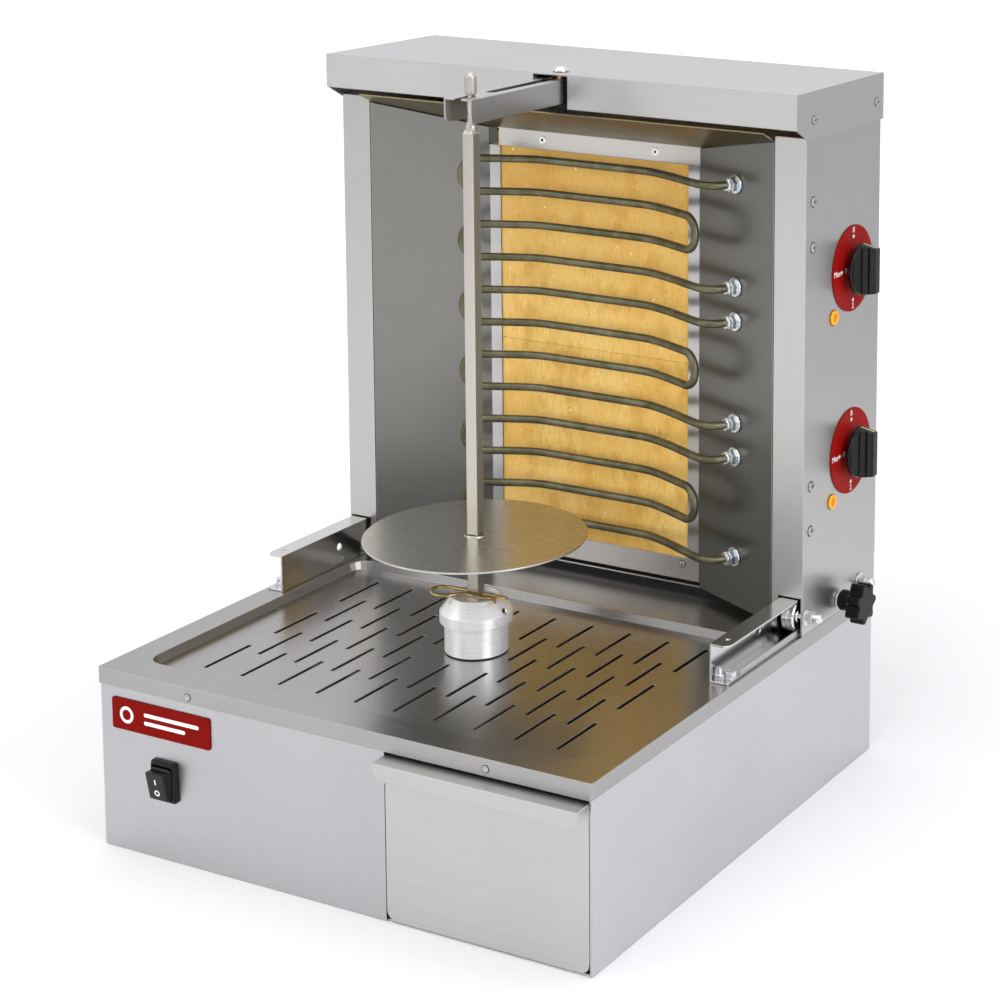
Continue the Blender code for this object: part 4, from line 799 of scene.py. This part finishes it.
def make_star_knob():
    """Seven-lobed clamping knob on a plain stem with a bright washer."""
    low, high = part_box("star_knob")
    centre = middle("star_knob")
    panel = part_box("cabinet_right_side")[1][0]
    outline = []
    for i in range(140):
        angle = 2 * math.pi * i / 140
        wave = math.cos(7 * angle)
        reach = (15.5 + 2.1 * math.copysign(abs(wave) ** 0.8, wave)) * MM
        outline.append((reach * math.cos(angle), reach * math.sin(angle)))
    place = turn_towards((1, 0, 0), (0, centre.y, centre.z))
    bm = bmesh.new()
    prism_into(bm, outline, panel + 15 * MM, high[0], place, 1.6 * MM)
    hub = [(0, panel + 16 * MM), (8.6 * MM, panel + 16 * MM), (8.8 * MM, panel + 4.2 * MM), (7.6 * MM, panel + 3.2 * MM),
           (0, panel + 3.2 * MM)]
    lathe_into(bm, hub, place, 64, 0.6 * MM)
    add_piece("star_knob_head", to_mesh(bm, "star_head"), "black_gloss", "clamp_knob", "star_knob")
    stem = [(0, panel + 4 * MM), (4.0 * MM, panel + 4 * MM), (4.0 * MM, panel + 2.4 * MM), (6.8 * MM, panel + 2.2 * MM),
            (6.8 * MM, panel + 0.6 * MM), (3.8 * MM, panel + 0.6 * MM), (3.8 * MM, low[0]), (0, low[0])]
    lathe("star_knob_stem", stem, (0, centre.y, centre.z), (1, 0, 0), "bright_screw", "clamp_knob", None, 48)


def make_switch():
    """Rocker switch: ribbed rubber surround, and the rocker with its two printed signs."""
    low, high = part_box("switch_body")
    centre = middle("switch_body")
    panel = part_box("base_shell")[0][1]
    front = Matrix.Translation((centre.x, panel, centre.z)) @ Matrix.Rotation(math.pi / 2, 4, "X")
    width, height = high[0] - low[0], high[2] - low[2]
    bm = bmesh.new()
    for inset, start, end in ((0.0, 0.2, 2.4), (1.1, 2.4, 3.7), (2.1, 3.7, 4.9)):
        outer = rounded_rectangle(width - 2 * inset * MM, height - 2 * inset * MM, (3.4 - inset * 0.5) * MM)
        prism_into(bm, outer, start * MM, end * MM, front, 0.45 * MM)
    surround = add_piece("switch_surround", to_mesh(bm, "switch_surround"), "rubber", "base", "switch_body")
    pocket = bmesh.new()
    prism_into(pocket, rounded_rectangle(20.2 * MM, 27.4 * MM, 1.5 * MM), 0.5 * MM, 8 * MM, front)
    carve(surround, pocket, nested=True)
    bellows = bmesh.new()
    for inset, reach in ((3.2, 6.2), (3.9, 7.4)):
        ring = rounded_rectangle(width - 2 * inset * MM, height - 2 * (inset + 1.2) * MM, 2.2 * MM)
        prism_into(bellows, ring, 4.6 * MM, reach * MM, front, 0.5 * MM)
    add_piece("switch_bellows", to_mesh(bellows, "switch_bellows"), "rubber", "base")
    make_rocker(panel)


def make_rocker(panel):
    """Rocker with a sloping face, its top standing out at rest."""
    low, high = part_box("switch_rocker")
    centre = middle("switch_rocker")
    half = 9.2 * MM
    top_face = Vector((panel - 13.5 * MM, centre.z + 11.6 * MM))
    low_face = Vector((panel - 8.7 * MM, centre.z - 11.9 * MM))
    outline = [low_face, (panel - 4 * MM, low_face.y), (panel - 4 * MM, top_face.y), top_face]
    bm = bmesh.new()
    across = Matrix(((0, 0, 1, 0), (1, 0, 0, 0), (0, 1, 0, 0), (0, 0, 0, 1)))
    prism_into(bm, [tuple(p) for p in outline], centre.x - half, centre.x + half, across)
    rocker = add_piece("rocker_cap", to_mesh(bm, "rocker_cap"), "black", "rocker", "switch_rocker")
    soften(rocker, 1.1 * MM)
    slope = math.atan2(low_face.x - top_face.x, top_face.y - low_face.y)
    face = (top_face + low_face) / 2
    tilt = Matrix.Translation((centre.x, face.x, face.y)) @ Matrix.Rotation(math.pi / 2 + slope, 4, "X")
    bm = bmesh.new()
    prism_into(bm, rounded_rectangle(1.1 * MM, 4.8 * MM, 0.4 * MM, 3), 0.0, 0.12 * MM,
               tilt @ Matrix.Translation((0, 4.6 * MM, 0)))
    add_piece("rocker_sign_on", to_mesh(bm, "sign_on"), "white", "rocker")
    ring = bmesh.new()
    profile = [(1.5 * MM, 0.0), (1.5 * MM, 0.12 * MM), (2.6 * MM, 0.12 * MM), (2.6 * MM, 0.0)]
    lathe_into(ring, profile, tilt @ Matrix.Translation((0, -5.2 * MM, 0)), 40, 0.0)
    add_piece("rocker_sign_off", to_mesh(ring, "sign_off"), "white", "rocker")


# ---------------------------------------------------------------- running gear and fasteners

def make_axles():
    """Axles with acorn nuts outside the panels, and the rollers inside the rails."""
    for side, sign in (("left", -1), ("right", 1)):
        for end in ("front", "rear"):
            node = "roller_axle_%s_%s" % (side, end)
            low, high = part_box(node)
            centre = middle(node)
            panel = sign * (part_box("cabinet_right_side")[1][0] + 0.3 * MM)
            place = turn_towards((sign, 0, 0), (panel, centre.y, centre.z))
            inner = -(abs(panel) - min(abs(low[0]), abs(high[0])))
            bm = bmesh.new()
            washer = [(0, 1.4 * MM), (6.8 * MM, 1.4 * MM), (6.8 * MM, 0), (0, 0)]
            lathe_into(bm, washer, place, 40)
            prism_into(bm, polygon(6, 5.2 * MM, 0.2), 1.4 * MM, 7.2 * MM, place, 0.4 * MM)
            dome = [(0, 15.4 * MM), (2.4 * MM, 15 * MM), (4.1 * MM, 12.6 * MM), (4.4 * MM, 9.2 * MM),
                    (4.4 * MM, 7 * MM), (0, 7 * MM)]
            lathe_into(bm, dome, place, 40, 1.2 * MM)
            lathe_into(bm, [(0, 0), (3 * MM, 0), (3 * MM, inner), (0, inner)], place, 32)
            add_piece("axle_%s_%s" % (side, end), to_mesh(bm, node), "bright_screw", "heater", node)
            make_roller(side, end, sign)


def make_roller(side, end, sign):
    """Turned roller with a groove on its rim and a recessed face."""
    node = "roller_%s_%s" % (side, end)
    centre = middle(node)
    radius, half = size(node).z / 2, size(node).x / 2
    profile = [(3.3 * MM, half), (6 * MM, half), (6.4 * MM, half - MM), (radius * 0.78, half - MM),
               (radius * 0.82, half), (radius * 0.93, half), (radius, half - 1.2 * MM), (radius, 1.0 * MM),
               (radius * 0.97, 0.0), (radius, -1.0 * MM), (radius, 1.2 * MM - half), (radius * 0.93, -half),
               (3.3 * MM, -half), (3.3 * MM, half)]
    lathe("wheel_%s_%s" % (side, end), profile, centre, (sign, 0, 0), "bright_screw", node, node, 64)


def screw(name, place, normal, radius, body, look="screw_steel"):
    """Low pan head with a cross recess, and a thin black ring round it as a painted contact shadow."""
    bm = bmesh.new()
    head = [(0, radius * 0.46), (radius * 0.6, radius * 0.42), (radius * 0.97, radius * 0.25), (radius, 0.1 * MM),
            (radius, -0.2 * MM)]
    lathe_into(bm, head, turn_towards(normal, place), 32, radius * 0.12)
    piece = add_piece(name, to_mesh(bm, name), look, body)
    cross = bmesh.new()
    for turn in (0.3, 0.3 + math.pi / 2):
        blade = bmesh.ops.create_cube(cross, size=1.0)["verts"]
        bmesh.ops.scale(cross, vec=(radius * 1.05, radius * 0.22, radius * 0.5), verts=blade)
        shape = Matrix.Translation((0, 0, radius * 0.5)) @ Matrix.Rotation(turn, 4, "Z")
        bmesh.ops.transform(cross, matrix=turn_towards(normal, place) @ shape, verts=blade)
    carve(piece, cross)
    # painted contact shadow: a thin black ring under the head's rim
    seat = [(0, 0.12 * MM), (radius * 1.14, 0.12 * MM), (radius * 1.14, -0.1 * MM)]
    lathe(name + "_seat", seat, place, normal, "black_metal_and_shade", body, None, 32, 0.0)
    return piece


def make_rivet(name, place, body):
    """Open blind rivet: a flat ring round a black disc, the painted shade of its open hole."""
    ring = [(1.2 * MM, 0.1 * MM), (1.3 * MM, 1.0 * MM), (2.9 * MM, 0.9 * MM), (3.9 * MM, 0.2 * MM), (3.9 * MM, 0)]
    lathe(name, ring, place, (0, -1, 0), "aluminium", body, None, 32, 0.2 * MM)
    # painted shade: a black disc standing for the dark hole
    shade_disc = [(0, 0.2 * MM), (1.25 * MM, 0.2 * MM), (1.25 * MM, 0)]
    lathe(name + "_hole_shade", shade_disc, place, (0, -1, 0), "black_metal_and_shade", body, None, 16, 0.0)


def make_panel_screws():
    """Screws that hold the deck, the lid and the cabinet's plates."""
    make_deck_screws()
    make_cabinet_screws()
    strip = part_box("board_bottom_strip")[0][1]
    screw("strip_screw", (90 * MM, strip, 172.8 * MM), (0, -1, 0), 3.0 * MM, "heater")
    for i, x in enumerate((-51 * MM, 63 * MM)):
        make_rivet("strip_rivet_%d" % i, (x, strip, 530.5 * MM), "heater")
    # painted shade: a near-black sheet in the dark gap beside the hood's left edge
    shade_sheet = bmesh.new()
    outline = rounded_rectangle(10 * MM, 26 * MM, 0.8 * MM, 3)
    corner = Matrix.Translation((-103.5 * MM, strip, 536 * MM)) @ Matrix.Rotation(math.pi / 2, 4, "X")
    prism_into(shade_sheet, outline, -0.6 * MM, 0.0, corner, 0.2 * MM)
    add_piece("hood_corner_shade", to_mesh(shade_sheet, "hood_corner_shade"), "painted_shade_steel", "heater")


def make_deck_screws():
    low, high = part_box("top_deck")
    skirt = (low[2] + high[2]) / 2 - 1.5 * MM
    for i, x in enumerate((-139 * MM, 139 * MM)):
        screw("deck_front_screw_%d" % i, (x, low[1], skirt), (0, -1, 0), 2.9 * MM, "base")
        screw("deck_rear_screw_%d" % i, (x, high[1] - 0.6 * MM, skirt), (0, 1, 0), 2.9 * MM, "base")


def make_cabinet_screws():
    lid_high = Vector(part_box("top_lid")[1])
    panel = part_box("cabinet_right_side")[1][0]
    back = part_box("cabinet_back")[1][1] - 0.9 * MM
    for side, sign in (("left", -1), ("right", 1)):
        for i, y in enumerate((139 * MM, 251 * MM)):
            place = (sign * lid_high.x, y, lid_high.z - 23.5 * MM)
            screw("lid_%s_screw_%d" % (side, i), place, (sign, 0, 0), 3.4 * MM, "heater")
        for i, z in enumerate((509.4 * MM, 471.7 * MM, 272.1 * MM, 234.4 * MM)):
            screw("panel_%s_screw_%d" % (side, i), (sign * panel, 142 * MM, z), (sign, 0, 0), 4.1 * MM, "heater")
        for i, z in enumerate((200 * MM, 310 * MM, 420 * MM, 545 * MM)):
            screw("back_%s_screw_%d" % (side, i), (sign * 222 * MM, back, z), (0, 1, 0), 3.4 * MM, "heater")


def make_arm_fixings():
    """Pan-head screw on the lid and the brass spacer in the arm's slot."""
    low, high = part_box("arm_screw")
    centre = middle("arm_screw")
    radius = (high[0] - low[0]) / 2
    under = high[2] - 4.3 * MM
    profile = [(0, high[2]), (radius * 0.55, high[2] - 0.5 * MM), (radius * 0.95, high[2] - 2.6 * MM), (radius, under),
               (2 * MM, under), (2 * MM, low[2]), (0, low[2])]
    lathe("arm_screw_head", profile, (0, centre.y, 0), UP, "bright_screw", "heater", "arm_screw", 64, 0.6 * MM)
    low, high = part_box("arm_sleeve")
    outer = (high[0] - low[0]) / 2
    ring = [(2.3 * MM, high[2]), (outer, high[2]), (outer, low[2]), (2.3 * MM, low[2]), (2.3 * MM, high[2])]
    lathe("arm_spacer", ring, (0, centre.y, 0), UP, "brass", "heater", "arm_sleeve", 48)


def make_rail_details():
    """On each rail: hexagon bolt and stop pin in front, web screws and the upturned lower lip."""
    low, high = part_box("right_rail")
    floor = low[2] + 1.5 * MM
    for sign, side in ((-1, "left"), (1, "right")):
        bm = bmesh.new()
        bolt = turn_towards(UP, (sign * (high[0] - 5.6 * MM), low[1] + 12.5 * MM, floor))
        prism_into(bm, polygon(6, 5.2 * MM, 0.4), 0.8 * MM, 5.6 * MM, bolt, 0.5 * MM)
        lathe_into(bm, [(0, 0.8 * MM), (5.6 * MM, 0.8 * MM), (5.6 * MM, 0.05 * MM), (0, 0.05 * MM)], bolt, 32)
        stop = turn_towards(UP, (sign * (low[0] + 5.0 * MM), low[1] + 6.5 * MM, floor))
        lathe_into(bm, [(0, 9.5 * MM), (2.6 * MM, 9.5 * MM), (2.6 * MM, 4 * MM), (0, 4 * MM)], stop, 32)
        prism_into(bm, polygon(6, 4.4 * MM, 0.1), 0.1 * MM, 4.2 * MM, stop, 0.4 * MM)
        for y in (58 * MM, 73 * MM):
            head = turn_towards((sign, 0, 0), (sign * (low[0] + 1.5 * MM), low[1] + y, high[2] - 7 * MM))
            prism_into(bm, polygon(6, 3.0 * MM, 0.2), 0.0, 1.5 * MM, head, 0.3 * MM)
        add_piece("rail_bolts_" + side, to_mesh(bm, "rail_bolts"), "zinc", "base")
        lip = bmesh.new()
        length = high[1] - low[1] - 20 * MM
        along = turn_towards((0, 1, 0), (sign * (high[0] - 0.55 * MM), low[1] + 20 * MM, floor + 2.4 * MM))
        prism_into(lip, rounded_rectangle(0.9 * MM, 4.8 * MM, 0.4 * MM, 3), 0.0, length, along, 0.3 * MM)
        add_piece("rail_lip_" + side, to_mesh(lip, "rail_lip"), "steel_side", "base")


def make_badge():
    """Name plate with a generic ring and two bars in place of any name."""
    low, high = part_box("badge_plate")
    centre = middle("badge_plate")
    front = Matrix.Translation((centre.x, low[1], centre.z)) @ Matrix.Rotation(math.pi / 2, 4, "X")
    height = high[2] - low[2]
    bm = bmesh.new()
    ring = [(height * 0.17, 0.0), (height * 0.17, 0.1 * MM), (height * 0.27, 0.1 * MM), (height * 0.27, 0.0)]
    left = Matrix.Translation((-0.35 * (high[0] - low[0]), 0, 0))
    lathe_into(bm, ring, front @ left, 48, 0.0)
    for offset, width in ((0.13, 0.56), (-0.13, 0.42)):
        bar = rounded_rectangle(width * (high[0] - low[0]), height * 0.12, height * 0.05, 4)
        place = Matrix.Translation(((0.5 * width - 0.17) * (high[0] - low[0]), offset * height, 0))
        prism_into(bm, bar, 0.0, 0.1 * MM, front @ place)
    add_piece("badge_mark", to_mesh(bm, "badge_mark"), "white", "base")


# ---------------------------------------------------------------- studio

CAMERA_PLACE = Vector((1.1112, -1.5278, 0.8824))
CAMERA_AZIMUTH = math.radians(25.4447)
CAMERA_ELEVATION = math.radians(8.2784)
CAMERA_ROLL = math.radians(0.9113)
CAMERA_LENS = 86.0
CAMERA_SHIFT = (-0.4122, -0.4179)


def make_camera():
    """Camera at the product shot's place, with the lens shift of an off-centre crop."""
    flat = math.cos(CAMERA_ELEVATION)
    back = Vector((math.sin(CAMERA_AZIMUTH) * flat, -math.cos(CAMERA_AZIMUTH) * flat, math.sin(CAMERA_ELEVATION)))
    right = (-back).cross(UP).normalized()
    upward = right.cross(-back)
    x_axis = right * math.cos(CAMERA_ROLL) + upward * math.sin(CAMERA_ROLL)
    y_axis = upward * math.cos(CAMERA_ROLL) - right * math.sin(CAMERA_ROLL)
    camera = bpy.data.objects.new("camera", bpy.data.cameras.new("camera"))
    bpy.context.scene.collection.objects.link(camera)
    camera.matrix_world = Matrix.Translation(CAMERA_PLACE) @ Matrix((x_axis, y_axis, back)).transposed().to_4x4()
    camera.data.lens = CAMERA_LENS
    camera.data.sensor_width = 36.0
    home = bpy.data.objects.new("camera_home", None)
    home.location = CAMERA_PLACE
    bpy.context.scene.collection.objects.link(home)
    for axis, amount in zip(("shift_x", "shift_y"), CAMERA_SHIFT):
        shift_at_home(camera, home, axis, amount)
    bpy.context.scene.camera = camera


def shift_at_home(camera, home, axis, amount):
    """Lens shift that holds while the camera stands at home, and fades out when it moves away."""
    curve = camera.data.driver_add(axis)
    curve.driver.type = "SUM"
    distance = curve.driver.variables.new()
    distance.type = "LOC_DIFF"
    distance.targets[0].id = camera
    distance.targets[1].id = home
    for modifier in list(curve.modifiers):
        curve.modifiers.remove(modifier)
    curve.keyframe_points.clear()
    for metres, value in ((0.05, amount), (0.20, 0.0)):
        curve.keyframe_points.insert(metres, value).interpolation = "LINEAR"
    curve.extrapolation = "CONSTANT"


def softbox(name, place, target, width, height, power, colour=(1, 1, 1)):
    light = bpy.data.lights.new(name, "AREA")
    light.shape = "RECTANGLE"
    light.size = width
    light.size_y = height
    light.energy = power
    light.color = colour
    lamp = bpy.data.objects.new(name, light)
    bpy.context.scene.collection.objects.link(lamp)
    lamp.matrix_world = turn_towards(Vector(place) - Vector(target), place)
    return lamp


def make_floor():
    bm = bmesh.new()
    bmesh.ops.create_grid(bm, x_segments=8, y_segments=8, size=30.0)
    bmesh.ops.translate(bm, vec=(0, 0, -0.3 * MM), verts=bm.verts)
    mesh = to_mesh(bm, "studio_floor")
    mesh.materials.append(studio_floor())
    floor = bpy.data.objects.new("studio_floor", mesh)
    bpy.context.scene.collection.objects.link(floor)


def make_sky():
    """Light tent: white to the camera, brighter above and behind the broiler as the steel sees it."""
    world = bpy.data.worlds.new("studio")
    world.use_nodes = True
    nodes, links = world.node_tree.nodes, world.node_tree.links
    direction = nodes.new("ShaderNodeTexCoord").outputs["Generated"]
    split = nodes.new("ShaderNodeSeparateXYZ")
    rise = nodes.new("ShaderNodeMapRange")
    behind = nodes.new("ShaderNodeVectorMath")
    behind.operation = "DOT_PRODUCT"
    behind.inputs[1].default_value = (-0.45, 0.88, 0.10)
    back = nodes.new("ShaderNodeMapRange")
    level = nodes.new("ShaderNodeMath")
    level.operation = "MAXIMUM"
    ramp = nodes.new("ShaderNodeMix")
    ramp.data_type = "RGBA"
    links.new(direction, split.inputs[0])
    links.new(split.outputs["Z"], rise.inputs["Value"])
    links.new(direction, behind.inputs[0])
    links.new(behind.outputs["Value"], back.inputs["Value"])
    rise.inputs["From Max"].default_value = 0.55
    back.inputs["From Min"].default_value = 0.55
    back.inputs["From Max"].default_value = 0.95
    links.new(rise.outputs["Result"], level.inputs[0])
    links.new(back.outputs["Result"], level.inputs[1])
    links.new(level.outputs[0], ramp.inputs[0])
    ramp.inputs[6].default_value = (0.60, 0.60, 0.59, 1)
    ramp.inputs[7].default_value = (0.95, 0.95, 0.985, 1)
    seen = nodes.new("ShaderNodeMix")
    seen.data_type = "RGBA"
    links.new(nodes.new("ShaderNodeLightPath").outputs["Is Camera Ray"], seen.inputs[0])
    links.new(ramp.outputs[2], seen.inputs[6])
    seen.inputs[7].default_value = (1, 1, 1, 1)
    links.new(seen.outputs[2], nodes["Background"].inputs["Color"])
    bpy.context.scene.world = world


def make_studio():
    make_floor()
    make_sky()
    target = (0, 0.05, 0.25)
    softbox("overhead", (0.1, -0.3, 2.3), target, 2.2, 2.2, 12)
    softbox("key_left", (-1.7, -1.9, 1.5), target, 1.3, 1.6, 8, (1.0, 0.985, 0.96))
    softbox("fill_right", (2.4, -0.7, 1.2), target, 1.2, 1.6, 19, (0.95, 0.96, 1.0))
    front = softbox("fill_front", (0.3, -2.6, 0.7), target, 1.4, 1.4, 22)
    front.visible_glossy = False
    bpy.context.scene.view_settings.view_transform = "Standard"
    make_camera()


# ---------------------------------------------------------------- assembly

def build_scene():
    dress_nodes()
    make_hub()
    make_disc()
    make_spit()
    make_clip()
    for level in ("upper", "middle", "lower"):
        make_element(level)
    for level in ("upper", "lower"):
        make_dial(level)
        make_knob(level)
        make_lamp(level)
    make_star_knob()
    make_switch()
    make_axles()
    make_panel_screws()
    make_arm_fixings()
    make_rail_details()
    make_badge()
    make_studio()


build_scene()
